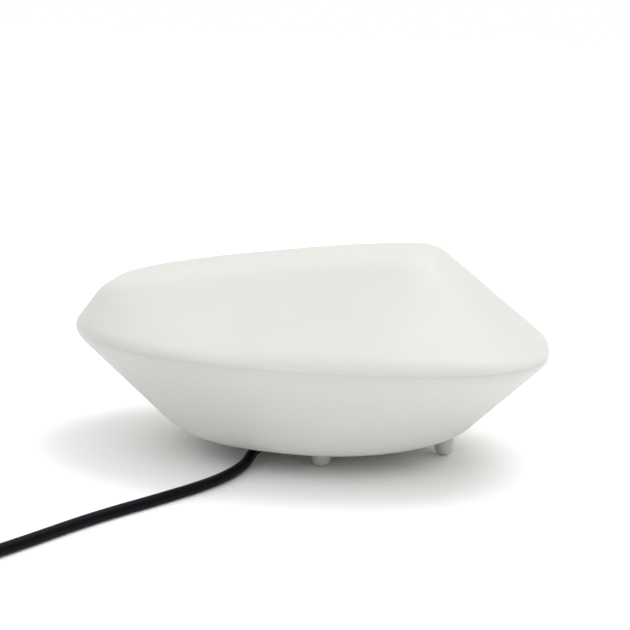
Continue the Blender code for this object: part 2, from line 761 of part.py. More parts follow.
def make_board_wiring(maker, black, sheath):
    socket_x = OUTLET_X - SOCKET_OFFSET
    base = BOARD_TOP + GAP
    length, width, height = SOCKET_SIZE
    socket = solid(add_box, (socket_x, OUTLET_Y), base, base + height, length, width)
    maker.part("board_connector", socket, black)
    into_socket = base + height + GAP
    lead = [
        (OUTLET_X, OUTLET_Y, NECK_TOP + GAP),
        (OUTLET_X, OUTLET_Y, BOARD_TOP),
        (OUTLET_X - 0.0004, OUTLET_Y, into_socket + 0.0020),
        (OUTLET_X - 0.0032, OUTLET_Y, into_socket + 0.0058),
        (OUTLET_X - 0.0070, OUTLET_Y, into_socket + 0.0068),
        (OUTLET_X - 0.0108, OUTLET_Y, into_socket + 0.0052),
        (socket_x, OUTLET_Y, into_socket + 0.0022),
        (socket_x, OUTLET_Y, into_socket),
    ]
    make_tube(maker, "inner_lead", smooth_route(lead, LEAD_SPACING), LEAD_RADIUS, sheath)
    shield_end = PLANE_CENTRE_X + SHIELD_SIZE[0] / 2 + GAP
    middle = PLANE_BASE - 4 * GAP - SHIELD_SIZE[2] / 2
    jumper = [
        (shield_end, 0.0060, middle),
        (shield_end + 0.0040, 0.0062, middle - 0.0006),
        (shield_end + 0.0066, 0.0075, middle - 0.0050),
        (shield_end + 0.0060, 0.0095, middle - 0.0110),
        (shield_end + 0.0034, 0.0110, middle - 0.0150),
        (shield_end + 0.0030, 0.0112, base + 0.0020),
        (shield_end + 0.0030, 0.0112, base),
    ]
    make_tube(maker, "coax_jumper", smooth_route(jumper, LEAD_SPACING), JUMPER_RADIUS, black)


# Cable outlet, vent


def outlet_direction():
    return Vector((cos(OUTLET_HEADING), sin(OUTLET_HEADING), 0.0))


def along(direction, origin):
    """The frame whose Z runs along direction from origin."""
    return Matrix.Translation(origin) @ direction.to_track_quat("Z", "Y").to_matrix().to_4x4()


def make_cable_outlet(maker, rubber, plastic):
    """A low elbow that turns the cable flat under the floor, held by a nut inside."""
    top = FLOOR_HEIGHT - GAP
    profile = [
        (0.0, NECK_TOP), (NECK_RADIUS, NECK_TOP), (NECK_RADIUS, top),
        (OUTLET_RADIUS - OUTLET_TOP_EDGE, top), (OUTLET_RADIUS, top - OUTLET_TOP_EDGE),
        (OUTLET_RADIUS, OUTLET_BODY_BASE + OUTLET_LOW_EDGE),
        (OUTLET_RADIUS - OUTLET_LOW_EDGE, OUTLET_BODY_BASE),
        (0.0, OUTLET_BODY_BASE),
    ]
    maker.part(
        "cable_outlet", solid(add_turned, profile), rubber, Matrix.Translation(OUTLET.to_3d())
    )
    washer = bmesh.new()
    low = FLOOR_INSIDE + GAP
    add_pipe(
        washer, OUTLET_NUT_FLAT + CLEARANCE, NECK_RADIUS + GAP, low, low + WASHER_HEIGHT, OUTLET
    )
    maker.part("outlet_washer", washer, rubber)
    nut = bmesh.new()
    low += WASHER_HEIGHT + GAP
    corner = OUTLET_NUT_FLAT / cos(pi / 6)
    add_cylinder(nut, OUTLET, low, low + OUTLET_NUT_HEIGHT, corner, 6)
    bore = bmesh.new()
    add_cylinder(bore, OUTLET, low - CLEARANCE, low + OUTLET_NUT_HEIGHT + CLEARANCE, NECK_RADIUS + GAP)
    cut(maker.part("outlet_nut", nut, plastic), maker.cutter("outlet_nut_bore", bore), "bore")
    reach = OUTLET_RADIUS + GAP
    start = OUTLET.to_3d() + outlet_direction() * reach
    start.z = OUTLET_AXIS_HEIGHT
    relief = [
        (0.0, RELIEF_LENGTH), (CABLE_RADIUS + RELIEF_TIP_WALL, RELIEF_LENGTH),
        (CABLE_RADIUS + RELIEF_ROOT_WALL, RELIEF_ROOT_LENGTH),
        (CABLE_RADIUS + RELIEF_ROOT_WALL, 0.0), (0.0, 0.0),
    ]
    maker.part(
        "strain_relief", solid(add_turned, relief), rubber, along(outlet_direction(), start)
    )


def make_vent(maker, look):
    top = FLOOR_HEIGHT - GAP
    profile = [
        (0.0, FLOOR_INSIDE + WALL_FLAT), (VENT_STEM_RADIUS, FLOOR_INSIDE + WALL_FLAT),
        (VENT_STEM_RADIUS, top), (VENT_CAP_RADIUS, top),
        (VENT_CAP_RADIUS, top - VENT_CAP_HEIGHT + VENT_EDGE),
        (VENT_CAP_RADIUS - VENT_EDGE, top - VENT_CAP_HEIGHT), (0.0, top - VENT_CAP_HEIGHT),
    ]
    maker.part("vent_plug", solid(add_turned, profile), look, Matrix.Translation(VENT.to_3d()))


# Cable, coil and connector


def coil_sizes():
    half_width = COIL_PITCH * COIL_COLUMNS / 2
    outer = COIL_MEAN_RADIUS + half_width
    inner = COIL_MEAN_RADIUS - half_width
    winding = COIL_MEAN_RADIUS + COIL_PITCH * (COIL_COLUMNS - 1) / 2
    height = COIL_PITCH * COIL_LAYERS
    return inner, outer, winding, height


def cable_axis():
    return [Vector((x, y, room + CABLE_RADIUS)) for x, y, room in CABLE_ROUTE]


def coil_centre():
    """The route runs into the outer turn, with the coil on its right."""
    _, _, winding, _ = coil_sizes()
    before, end = cable_axis()[-2:]
    heading = (end - before).to_2d().normalized()
    return end.to_2d() + Vector((heading.y, -heading.x)) * winding


def tangent_room():
    """How far along a tangent of the outer turn the cable is clear of the coil's solid."""
    _, outer, winding, _ = coil_sizes()
    clear = outer + GAP + CABLE_RADIUS
    return (clear * clear - winding * winding) ** 0.5


def make_cable(maker, look, tie_look):
    inner, outer, winding, height = coil_sizes()
    centre = coil_centre()
    axis = cable_axis()
    end = axis[-1]
    room = tangent_room()
    start = OUTLET.to_3d() + outlet_direction() * (OUTLET_RADIUS + RELIEF_LENGTH + 2 * GAP)
    start.z = OUTLET_AXIS_HEIGHT
    straight = [start, start + outlet_direction() * CABLE_STRAIGHT]
    route = smooth_route(axis, ROUTE_SPACING)[1:]
    kept = [point for point in route if (point - end).length > room + ROUTE_SPACING / 2]
    stop = end + (kept[-1] - end).normalized() * room
    make_tube(maker, "cable_run", straight + kept + [stop], CABLE_RADIUS, look)

    ring = bmesh.new()
    add_pipe(ring, outer, inner, COIL_BASE, COIL_BASE + height, centre, 36)
    maker.part("cable_coil", ring, look)

    leave = centre + Vector((cos(COIL_EXIT), sin(COIL_EXIT))) * winding
    heading = Vector((sin(COIL_EXIT), -cos(COIL_EXIT)))
    high = COIL_BASE + height - COIL_PITCH / 2
    boot_start = leave + heading * TAIL_LENGTH
    first = leave + heading * room
    run = boot_start - first
    tail = [
        (*first, high - 0.0030),
        (*(first + run * 0.30), high - 0.0052),
        (*(first + run * 0.60), CONNECTOR_AXIS_HEIGHT + 0.0010),
        (*(first + run * 0.85), CONNECTOR_AXIS_HEIGHT + 0.0001),
        (*(boot_start - heading * GAP), CONNECTOR_AXIS_HEIGHT),
    ]
    make_tube(maker, "cable_tail", smooth_route(tail, TAIL_SPACING), CABLE_RADIUS, look)

    half = TIE_WIDTH / 2
    near = (inner * inner - half * half) ** 0.5 - GAP
    far = outer + GAP
    low = COIL_BASE - GAP
    top = COIL_BASE + height + GAP
    shape = bmesh.new()
    middle = (near + far) / 2
    width = far - near
    add_box(
        shape, (middle, 0.0), low - TIE_THICKNESS, top + TIE_THICKNESS,
        width + 2 * TIE_THICKNESS, TIE_WIDTH,
    )
    turn = Matrix.Translation(centre.to_3d()) @ Matrix.Rotation(TIE_ANGLE, 4, "Z")
    bmesh.ops.transform(shape, matrix=turn, verts=shape.verts)
    hollow = bmesh.new()
    add_box(hollow, (middle, 0.0), low, top, width, 2 * TIE_WIDTH)
    bmesh.ops.transform(hollow, matrix=turn, verts=hollow.verts)
    cut(maker.part("coil_tie", shape, tie_look), maker.cutter("coil_tie_hollow", hollow), "hollow")
    return boot_start, heading


def make_connector(maker, start, heading, rubber, plastic, gold, metal):
    """Boot, shell, insert and pins in line, and a knurled nut that turns on the shell's collar."""
    origin = start.to_3d()
    origin.z = CONNECTOR_AXIS_HEIGHT
    frame = along(heading.to_3d(), origin)
    boot = [
        (0.0, BOOT_LENGTH), (BOOT_ROOT_RADIUS, BOOT_LENGTH),
        (BOOT_ROOT_RADIUS, BOOT_LENGTH - BOOT_ROOT_LENGTH),
        (BOOT_TIP_RADIUS, 0.0), (0.0, 0.0),
    ]
    maker.part("connector_boot", solid(add_turned, boot), rubber, frame)

    base = BOOT_LENGTH + GAP
    shoulder = base + SHELL_LENGTH
    front = shoulder + COLLAR_LENGTH
    shell = [
        (0.0, front - SOCKET_DEPTH), (SOCKET_RADIUS, front - SOCKET_DEPTH), (SOCKET_RADIUS, front),
        (COLLAR_RADIUS, front), (COLLAR_RADIUS, shoulder + NUT_LAND + 2 * GAP + LIP_LENGTH),
        (LIP_RADIUS, shoulder + NUT_LAND + 2 * GAP + LIP_LENGTH),
        (LIP_RADIUS, shoulder + NUT_LAND + 2 * GAP),
        (COLLAR_RADIUS, shoulder + NUT_LAND + 2 * GAP), (COLLAR_RADIUS, shoulder),
        (SHELL_RADIUS, shoulder), (SHELL_RADIUS, base + SHELL_EDGE), (SHELL_RADIUS - SHELL_EDGE, base),
        (0.0, base),
    ]
    maker.part("connector_shell", solid(add_turned, shell), plastic, frame)

    insert_low = front - SOCKET_DEPTH + GAP
    insert_high = insert_low + PIN_INSERT_HEIGHT
    insert = maker.part(
        "connector_insert",
        solid(add_cylinder, (0.0, 0.0), insert_low, insert_high, SOCKET_RADIUS - GAP),
        plastic, frame,
    )
    turns = [2 * pi * (k + 0.5) / PIN_COUNT for k in range(PIN_COUNT)]
    spots = [PIN_CIRCLE * Vector((cos(turn), sin(turn))) for turn in turns]
    holes = bmesh.new()
    for number, spot in enumerate(spots, 1):
        low, high = insert_low - PIN_SINK, insert_high + PIN_SINK
        add_cylinder(holes, spot, low, high, PIN_RADIUS + GAP, 10)
        pin = solid(add_cylinder, spot, insert_low + GAP, front - PIN_SINK, PIN_RADIUS, 10)
        maker.part(f"connector_pin_{number}", pin, gold, frame)
    bmesh.ops.transform(holes, matrix=frame, verts=holes.verts)
    cut(insert, maker.cutter("insert_holes", holes), "holes")

    land_bore = COLLAR_RADIUS + GAP
    thread_bore = LIP_RADIUS + GAP
    low = shoulder + GAP
    lands = low + NUT_LAND
    nut = bmesh.new()
    profile = [
        (thread_bore, low + NUT_LENGTH), (NUT_RADIUS - NUT_EDGE, low + NUT_LENGTH),
        (NUT_RADIUS, low + NUT_LENGTH - NUT_EDGE), (NUT_RADIUS, low + NUT_EDGE),
        (NUT_RADIUS - NUT_EDGE, low), (land_bore, low), (land_bore, lands), (thread_bore, lands),
        (thread_bore, low + NUT_LENGTH),
    ]
    add_turned(nut, profile, None, 2 * NUT_KNURLS)
    for vert in nut.verts:
        radius = vert.co.to_2d().length
        tooth = round(atan2(vert.co.y, vert.co.x) / (pi / NUT_KNURLS))
        if radius > NUT_RADIUS - 0.0001 and tooth % 2:
            vert.co.xy *= (radius - NUT_KNURL_DEPTH) / radius
    maker.part("coupling_nut", nut, metal, frame)


def main():
    clear_scene()
    maker = Maker()
    shell = ((0.86, 0.86, 0.83), 0.48, 0.0)
    foot = ((0.80, 0.80, 0.77), 0.50, 0.0)
    black_rubber = ((0.018, 0.018, 0.020), 0.55, 0.0)
    black_plastic = ((0.020, 0.020, 0.022), 0.40, 0.0)
    grey_rubber = ((0.30, 0.30, 0.31), 0.70, 0.0)
    cable = ((0.012, 0.012, 0.014), 0.38, 0.0)
    tie = ((0.030, 0.030, 0.032), 0.85, 0.0)
    board_green = ((0.015, 0.120, 0.055), 0.45, 0.0)
    aluminium = ((0.80, 0.81, 0.82), 0.35, 1.0)
    steel = ((0.62, 0.63, 0.65), 0.30, 1.0)
    brass = ((0.72, 0.53, 0.24), 0.32, 1.0)
    gold = ((0.90, 0.68, 0.30), 0.25, 1.0)
    ceramic = ((0.66, 0.62, 0.52), 0.55, 0.0)
    tin = ((0.70, 0.71, 0.72), 0.38, 1.0)
    ferrite = ((0.11, 0.11, 0.12), 0.60, 0.0)
    nickel = ((0.66, 0.64, 0.60), 0.28, 1.0)

    make_bottom_housing(maker, shell)
    make_top_cover(maker, shell)
    make_seam_gasket(maker, grey_rubber)
    make_feet(maker, foot)
    make_housing_screws(maker, steel, brass, grey_rubber)
    make_main_board(maker, board_green)
    make_antenna_pillars(maker, brass)
    make_ground_plane(maker, aluminium, steel)
    make_antenna(maker, ceramic, gold, tin)
    make_chips(maker, black_plastic, tin, ferrite)
    make_board_wiring(maker, black_plastic, cable)
    make_cable_outlet(maker, black_rubber, black_plastic)
    make_vent(maker, black_plastic)
    start, heading = make_cable(maker, cable, tie)
    make_connector(maker, start, heading, black_rubber, black_plastic, gold, nickel)


main()
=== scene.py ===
"""Receiver for satellite positioning: its visible pieces, built around the solids that fix every
place and size. Metres, +Z up, the nose points to -X."""

import json
from collections import namedtuple
from math import atan2, cos, dist, pi, radians, sin, tan

import bmesh
import bpy
from mathutils import Matrix, Vector


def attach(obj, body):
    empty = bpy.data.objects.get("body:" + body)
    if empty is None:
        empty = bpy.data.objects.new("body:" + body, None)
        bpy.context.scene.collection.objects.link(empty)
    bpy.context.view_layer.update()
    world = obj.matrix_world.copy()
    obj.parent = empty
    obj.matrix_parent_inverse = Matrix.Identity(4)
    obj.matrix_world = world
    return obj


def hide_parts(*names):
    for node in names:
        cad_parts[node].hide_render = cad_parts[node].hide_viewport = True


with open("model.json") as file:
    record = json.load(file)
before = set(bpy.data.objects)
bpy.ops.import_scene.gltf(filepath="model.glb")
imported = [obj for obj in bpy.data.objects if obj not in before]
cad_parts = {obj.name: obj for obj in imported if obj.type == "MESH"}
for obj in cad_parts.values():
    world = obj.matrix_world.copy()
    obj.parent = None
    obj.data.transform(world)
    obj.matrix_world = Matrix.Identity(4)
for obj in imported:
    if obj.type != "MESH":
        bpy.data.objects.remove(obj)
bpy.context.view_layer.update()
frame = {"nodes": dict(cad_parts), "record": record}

bl_info = {
    "name": "GNSS Receiver",
    "version": (1, 0, 0),
    "blender": (4, 5, 0),
    "location": "3D View > Sidebar > Receiver",
    "description": "Builds a satellite positioning receiver on four round feet with its cable",
    "category": "Add Mesh",
}

BODY = "receiver"
NUT_BODY = "coupling_nut"

Section = namedtuple("Section", "centre nose tail half_width nose_power tail_power")
BELT = Section(-0.0096, 0.0919, 0.1111, 0.0727, 1.95, 2.75)
FLOOR = Section(0.0088, 0.0617, 0.0556, 0.0509, 2.50, 1.70)
ROOF = Section(-0.0196, 0.0671, 0.0712, 0.0270, 4.60, 4.30)
FLOOR_HEIGHT = 0.0080
BELT_HEIGHT = 0.0485
ROOF_HEIGHT = 0.0803
ROOF_SLOPE = radians(8.5)
ROOF_CROWN = 0.0046
ROUNDING_LOSS = 0.32
CORNER_SHARE = 0.45  # of a side, which a rounded corner takes at most
BROW_SHARE = 0.72  # of the way out over the roof, where its corner's inner side starts
OUTER_STEPS = 9  # points of a rounded corner outside the shell, and inside it
INNER_STEPS = 5
LONGEST_RIM_EDGE = BELT.half_width * 0.30
OUTSIDE_LEVEL = 0.935  # the belt's outline is at 1, and the wall's inside is lower than this
WIDE_SMOOTHING = radians(50.0)

FEET = {
    "foot_nose": (-0.0376, 0.0),
    "foot_tail": (0.0593, 0.0),
    "foot_left": (0.0109, -0.0296),
    "foot_right": (0.0109, 0.0296),
}
FOOT_RADIUS = 0.0040
FOOT_FLAT = radians(24.0)  # how far the round of the tip is turned where its flat ends
SCREW_PLACES = ((0.0420, -0.0220), (0.0420, 0.0220), (-0.0280, -0.0280), (-0.0280, 0.0280))
WELL_RADIUS = 0.0035
BORE_LENGTH = 0.0300
VENT = (0.0300, 0.0)
VENT_NECK = 0.0025
LABEL_PLACE = (0.0100, 0.0135, FLOOR_HEIGHT)
LABEL_SIZE = (0.0340, 0.0120)
LABEL_CORNER = 0.0020
LABEL_DEPTH = 0.0004
OUTLET = (-0.0152, -0.0020)
OUTLET_NECK = 0.0032
OUTLET_HEADING = radians(-94.0)
OUTLET_AXIS_HEIGHT = 0.0043
OUTLET_RADIUS = 0.0060
RELIEF_LENGTH = 0.0200

CABLE_ROUTE = (
    (-0.0171, -0.0286, 0.0043), (-0.0174, -0.0340, 0.0034), (-0.0181, -0.0410, 0.0025),
    (-0.0192, -0.0480, 0.0022), (-0.0210, -0.0555, 0.0022), (-0.0236, -0.0630, 0.0022),
    (-0.0272, -0.0710, 0.0022), (-0.0319, -0.0795, 0.0022), (-0.0377, -0.0888, 0.0022),
    (-0.0443, -0.0990, 0.0022), (-0.0510, -0.1090, 0.0022), (-0.0573, -0.1190, 0.0022),
    (-0.0630, -0.1290, 0.0022), (-0.0683, -0.1390, 0.0022), (-0.0736, -0.1490, 0.0022),
    (-0.0790, -0.1590, 0.0023), (-0.0846, -0.1695, 0.0029), (-0.0902, -0.1800, 0.0038),
)
COIL_BASE = 0.0016
COIL_EXIT = pi
COIL_CLIMB = 0.25  # of a turn, in which the cable goes up to the next layer
KNOTS_PER_TURN = 16
TIE_ANGLE = radians(75.0)
TIE_HALF_WIDTH = 0.0060
TIE_THICKNESS = 0.0010
TIE_CORNER = 0.0030
TIE_STEP = 0.0012
TAIL_LENGTH = 0.0330
TAIL_FALL = ((0.16, 0.96), (0.34, 0.80), (0.52, 0.50), (0.70, 0.20), (0.86, 0.03), (1.0, 0.0))
CONNECTOR_AXIS_HEIGHT = 0.0075
COLLAR_LENGTH = 0.0120
SOCKET_DEPTH = 0.0090
PINS = 4
PIN_RADIUS = 0.00045
PIN_CIRCLE = 0.0023
FIT = 0.0003
FLOOR_SIZE = 400.0


# Sizes and colours that a user would change


def metres(name, description, default):
    return bpy.props.FloatProperty(
        name=name, description=description, default=default, unit="LENGTH")


class HousingSettings(bpy.types.PropertyGroup):
    outline_points: bpy.props.IntProperty(
        name="Outline points", description="Points round the housing", default=176, min=48)
    side_wall: metres("Side wall", "Inset of the sides' inner face", 0.0036)
    flat_wall: metres("Flat wall", "Thickness of the floor and the roof", 0.0028)
    seam: metres("Seam", "Gap between the two halves", 0.00002)
    seam_edge: metres("Seam edge", "Rounding of the two rims at the seam", 0.00004)
    floor_rounding: metres("Floor rounding", "Cut of the floor's corner", 0.0107)
    belt_rounding: metres(
        "Belt rounding", "Cut of the widest corner at the nose and the tail", 0.0043)
    side_rounding: metres("Side rounding", "Cut of the widest corner along the sides", 0.0130)
    roof_rounding: metres("Roof rounding", "Cut of the roof's corner", 0.0060)
    plastic: bpy.props.FloatVectorProperty(
        name="Plastic", description="Colour of the housing", default=(0.676, 0.675, 0.640),
        subtype="COLOR")


class CableSettings(bpy.types.PropertyGroup):
    radius: metres("Radius", "Half the cable's thickness", 0.00215)
    length: metres("Length", "Whole length of the cable", 2.0)
    coil_mean_radius: metres(
        "Coil radius", "From the coil's middle to the middle of its turns", 0.0253)
    pitch: metres("Pitch", "From one turn to the next", 0.00435)
    columns: bpy.props.IntProperty(
        name="Columns", description="Turns beside each other in the coil", default=4)
    layers: bpy.props.IntProperty(
        name="Layers", description="Turns on top of each other in the coil", default=4)
    turns: bpy.props.IntProperty(
        name="Turns", description="Whole turns in the coil", default=11)
    jacket: bpy.props.FloatVectorProperty(
        name="Jacket", description="Colour of the cable's jacket",
        default=(0.0012, 0.0024, 0.0036), subtype="COLOR")


class ConnectorSettings(bpy.types.PropertyGroup):
    boot_length: metres("Boot length", "Length of the flexible boot", 0.0200)
    shell_length: metres("Shell length", "Length of the gripped shell", 0.0240)
    shell_radius: metres("Shell radius", "Outer radius of the shell", 0.0062)
    nut_radius: metres("Nut radius", "Outer radius of the coupling nut", 0.0074)
    nut_length: metres("Nut length", "Length of the coupling nut", 0.0140)
    knurls: bpy.props.IntProperty(
        name="Knurls", description="Grip flutes round the coupling nut", default=18)


class StageSettings(bpy.types.PropertyGroup):
    azimuth: bpy.props.FloatProperty(
        name="Azimuth", description="Camera's way round the receiver", default=radians(8.93),
        subtype="ANGLE")
    elevation: bpy.props.FloatProperty(
        name="Elevation", description="Camera's angle above the floor", default=radians(12.0),
        subtype="ANGLE")
    roll: bpy.props.FloatProperty(
        name="Roll", description="Camera's turn about its own axis", default=radians(2.0),
        subtype="ANGLE")
    distance: metres("Distance", "From the camera to the housing's middle", 0.600)
    lens: bpy.props.FloatProperty(
        name="Lens", description="Focal length in millimetres", default=80.74)
    shift: bpy.props.FloatVectorProperty(
        name="Shift", description="Camera shift across and up", default=(0.0441, 0.0267), size=2)
    sun_direction: bpy.props.FloatVectorProperty(
        name="Key direction", description="Towards the main lamp", default=(0.31, 0.33, 1.00),
        subtype="XYZ")
    sun_strength: bpy.props.FloatProperty(
        name="Key", description="Strength of the main lamp", default=0.94)
    horizon: bpy.props.FloatProperty(
        name="Horizon", description="Strength of the surroundings at floor height", default=0.50)
    overhead: bpy.props.FloatProperty(
        name="Overhead", description="Strength of the surroundings overhead", default=1.27)
    floor: bpy.props.FloatVectorProperty(
        name="Floor", description="Colour of the floor", default=(0.97, 0.97, 0.97),
        subtype="COLOR")


# Finishes

NOISE_LOW = 0.3  # nearly all of the cloudy noise lies between these two
NOISE_HIGH = 0.7


class Finish:
    """A material whose colour, roughness and relief come from patterns on Object coordinates."""

    def __init__(self, name, roughness=0.5, metallic=0.0):
        self.material = bpy.data.materials.new(name)
        self.material.use_nodes = True
        self.nodes = self.material.node_tree.nodes
        self.links = self.material.node_tree.links
        self.shader = self.nodes["Principled BSDF"]
        self.shader.inputs["Roughness"].default_value = roughness
        self.shader.inputs["Metallic"].default_value = metallic
        self.place = self.nodes.new("ShaderNodeTexCoord").outputs["Object"]

    def set(self, **values):
        for name, value in values.items():
            self.shader.inputs[name.replace("_", " ")].default_value = value
        return self

    def grain(self, size, detail=2.0, stretch=(1.0, 1.0, 1.0)):
        """Cloudy noise whose features are about size across, drawn out along the given axes."""
        mapping = self.nodes.new("ShaderNodeMapping")
        mapping.inputs["Scale"].default_value = stretch
        noise = self.nodes.new("ShaderNodeTexNoise")
        noise.inputs["Scale"].default_value = 1.0 / size
        noise.inputs["Detail"].default_value = detail
        self.links.new(self.place, mapping.inputs["Vector"])
        self.links.new(mapping.outputs["Vector"], noise.inputs["Vector"])
        return noise.outputs["Fac"]

    def pits(self, size):
        """Rounded cells about size across, as of a spark-eroded mould."""
        cells = self.nodes.new("ShaderNodeTexVoronoi")
        cells.feature = "SMOOTH_F1"
        cells.inputs["Scale"].default_value = 1.0 / size
        self.links.new(self.place, cells.inputs["Vector"])
        return cells.outputs["Distance"]

    def color(self, source, dark, light, low=0.35, high=0.65):
        ramp = self.nodes.new("ShaderNodeValToRGB")
        ramp.color_ramp.elements[0].position = low
        ramp.color_ramp.elements[1].position = high
        ramp.color_ramp.elements[0].color = (*dark, 1.0)
        ramp.color_ramp.elements[1].color = (*light, 1.0)
        self.links.new(source, ramp.inputs["Fac"])
        self.links.new(ramp.outputs["Color"], self.shader.inputs["Base Color"])
        return self

    def gloss(self, source, low, high):
        spread = self.nodes.new("ShaderNodeMapRange")
        spread.inputs["From Min"].default_value = NOISE_LOW
        spread.inputs["From Max"].default_value = NOISE_HIGH
        spread.inputs["To Min"].default_value = low
        spread.inputs["To Max"].default_value = high
        self.links.new(source, spread.inputs["Value"])
        self.links.new(spread.outputs["Result"], self.shader.inputs["Roughness"])
        return self

    def relief(self, source, depth, strength=1.0):
        """Bumps about depth high, on top of any relief that the finish has already."""
        bump = self.nodes.new("ShaderNodeBump")
        bump.inputs["Distance"].default_value = depth
        bump.inputs["Strength"].default_value = strength
        normal = self.shader.inputs["Normal"]
        if normal.is_linked:
            self.links.new(normal.links[0].from_socket, bump.inputs["Normal"])
        self.links.new(source, bump.inputs["Height"])
        self.links.new(bump.outputs["Normal"], normal)
        return self


def shade(color, share):
    return tuple(channel * share for channel in color)


def moulded_plastic(name, color):
    """Off-white weatherproof plastic: faint flow marks, spark-eroded texture, light comes a little
    way into it."""
    finish = Finish(name)
    finish.color(finish.grain(0.030, 3.0), shade(color, 0.985), color)
    finish.gloss(finish.grain(0.004, 4.0), 0.42, 0.54)
    finish.relief(finish.grain(0.0060, 2.0), 0.00003)
    finish.relief(finish.pits(0.00060), 0.000022, 0.5)
    return finish.set(
        Subsurface_Weight=0.18, Subsurface_Scale=0.004, Subsurface_Radius=(1.0, 0.85, 0.65),
        IOR=1.49).material


def black_jacket(name, color):
    """Extruded cable jacket: satin, with a little dust and fine scuffs."""
    finish = Finish(name)
    finish.color(finish.grain(0.0035, 6.0), color, shade(color, 2.2), 0.45, 0.80)
    finish.gloss(finish.grain(0.0016, 4.0), 0.26, 0.42)
    finish.relief(finish.grain(0.0007, 3.0), 0.00003, 0.5)
    return finish.set(Specular_IOR_Level=0.06).material


def moulded_rubber(name, color, rough=(0.52, 0.70)):
    finish = Finish(name)
    finish.color(finish.grain(0.0050, 5.0), color, shade(color, 1.7), 0.40, 0.78)
    finish.gloss(finish.grain(0.0015, 4.0), *rough)
    finish.relief(finish.pits(0.00035), 0.00003, 0.6)
    return finish.material


def turned_metal(name, color, rough=(0.20, 0.36), size=0.0012, stretch=(1.0, 1.0, 1.0)):
    finish = Finish(name, metallic=1.0)
    finish.color(finish.grain(size * 3, 4.0), shade(color, 0.94), color)
    finish.gloss(finish.grain(size, 5.0, stretch), *rough)
    finish.relief(finish.grain(size * 0.4, 3.0, stretch), 0.000012, 0.6)
    return finish.material


def fired_ceramic(name, color):
    finish = Finish(name)
    finish.color(finish.grain(0.0008, 6.0), shade(color, 0.82), color)
    finish.gloss(finish.grain(0.0020), 0.45, 0.62)
    finish.relief(finish.grain(0.0003, 4.0), 0.00002)
    return finish.material


def circuit_board(name, color):
    """Solder mask over copper tracks that show as slightly raised lighter lines."""
    finish = Finish(name)
    tracks = finish.nodes.new("ShaderNodeTexBrick")
    tracks.inputs["Scale"].default_value = 240.0
    tracks.inputs["Mortar Size"].default_value = 0.10
    tracks.inputs["Color1"].default_value = (*color, 1.0)
    tracks.inputs["Color2"].default_value = (*shade(color, 0.85), 1.0)
    tracks.inputs["Mortar"].default_value = (*shade(color, 1.8), 1.0)
    finish.links.new(finish.place, tracks.inputs["Vector"])
    finish.links.new(tracks.outputs["Color"], finish.shader.inputs["Base Color"])
    finish.gloss(finish.grain(0.0020, 4.0), 0.30, 0.45)
    finish.relief(tracks.outputs["Fac"], 0.00003)
    return finish.set(Coat_Weight=0.4, Coat_Roughness=0.2).material


def hook_and_loop(name, color):
    """Napped strap: short tangled loops."""
    finish = Finish(name, roughness=0.95)
    finish.color(finish.grain(0.00035, 8.0), shade(color, 0.6), shade(color, 2.0))
    finish.relief(finish.grain(0.00030, 8.0), 0.00022)
    finish.relief(finish.pits(0.00055), 0.00012)
    return finish.set(Sheen_Weight=0.35, Sheen_Roughness=0.5).material


def make_finishes(housing, cable):
    """Every finish under the name of its slot."""
    plastic = tuple(housing.plastic)
    recipes = {
        "housing_plastic": (moulded_plastic, plastic),
        # The feet's finish is the housing's plastic painted darker: painted shade for their place
        # under the housing.
        "foot_plastic": (moulded_plastic, shade(plastic, 0.88)),
        "grey_rubber": (moulded_rubber, (0.30, 0.30, 0.305)),
        "black_rubber": (moulded_rubber, (0.014, 0.014, 0.016)),
        "black_plastic": (moulded_rubber, (0.016, 0.016, 0.018), (0.32, 0.48)),
        "cable_jacket": (black_jacket, tuple(cable.jacket)),
        "tie_fabric": (hook_and_loop, (0.020, 0.020, 0.022)),
        "board": (circuit_board, (0.012, 0.115, 0.050)),
        "aluminium": (turned_metal, (0.80, 0.81, 0.82), (0.28, 0.42), 0.002, (1.0, 12.0, 1.0)),
        "steel": (turned_metal, (0.60, 0.61, 0.63)),
        "brass": (turned_metal, (0.74, 0.55, 0.26)),
        "gold": (turned_metal, (0.92, 0.70, 0.32), (0.14, 0.26)),
        "tin": (turned_metal, (0.70, 0.71, 0.72), (0.30, 0.48)),
        "nickel": (turned_metal, (0.66, 0.645, 0.61), (0.22, 0.30), 0.0004),
        "ceramic": (fired_ceramic, (0.66, 0.62, 0.52)),
        "ferrite": (fired_ceramic, (0.11, 0.11, 0.12)),
    }
    return {slot: make(slot, *look) for slot, (make, *look) in recipes.items()}


FINISHES = {}


def finish_of(slot):
    """The slot's finish; all are made the first time that one is asked for."""
    if not FINISHES:
        scene = bpy.context.scene
        FINISHES.update(make_finishes(scene.gnss_housing, scene.gnss_cable))
    return FINISHES[slot]


# Modelling


def leave_edit_mode():
    """Back to objects with nothing selected, as each piece starts."""
    if bpy.context.object and bpy.context.object.mode != "OBJECT":
        bpy.ops.object.mode_set(mode="OBJECT")
    bpy.ops.object.select_all(action="DESELECT")


def pick(piece):
    """Leaves this piece active and the only one selected."""
    leave_edit_mode()
    bpy.context.view_layer.objects.active = piece
    piece.select_set(True)


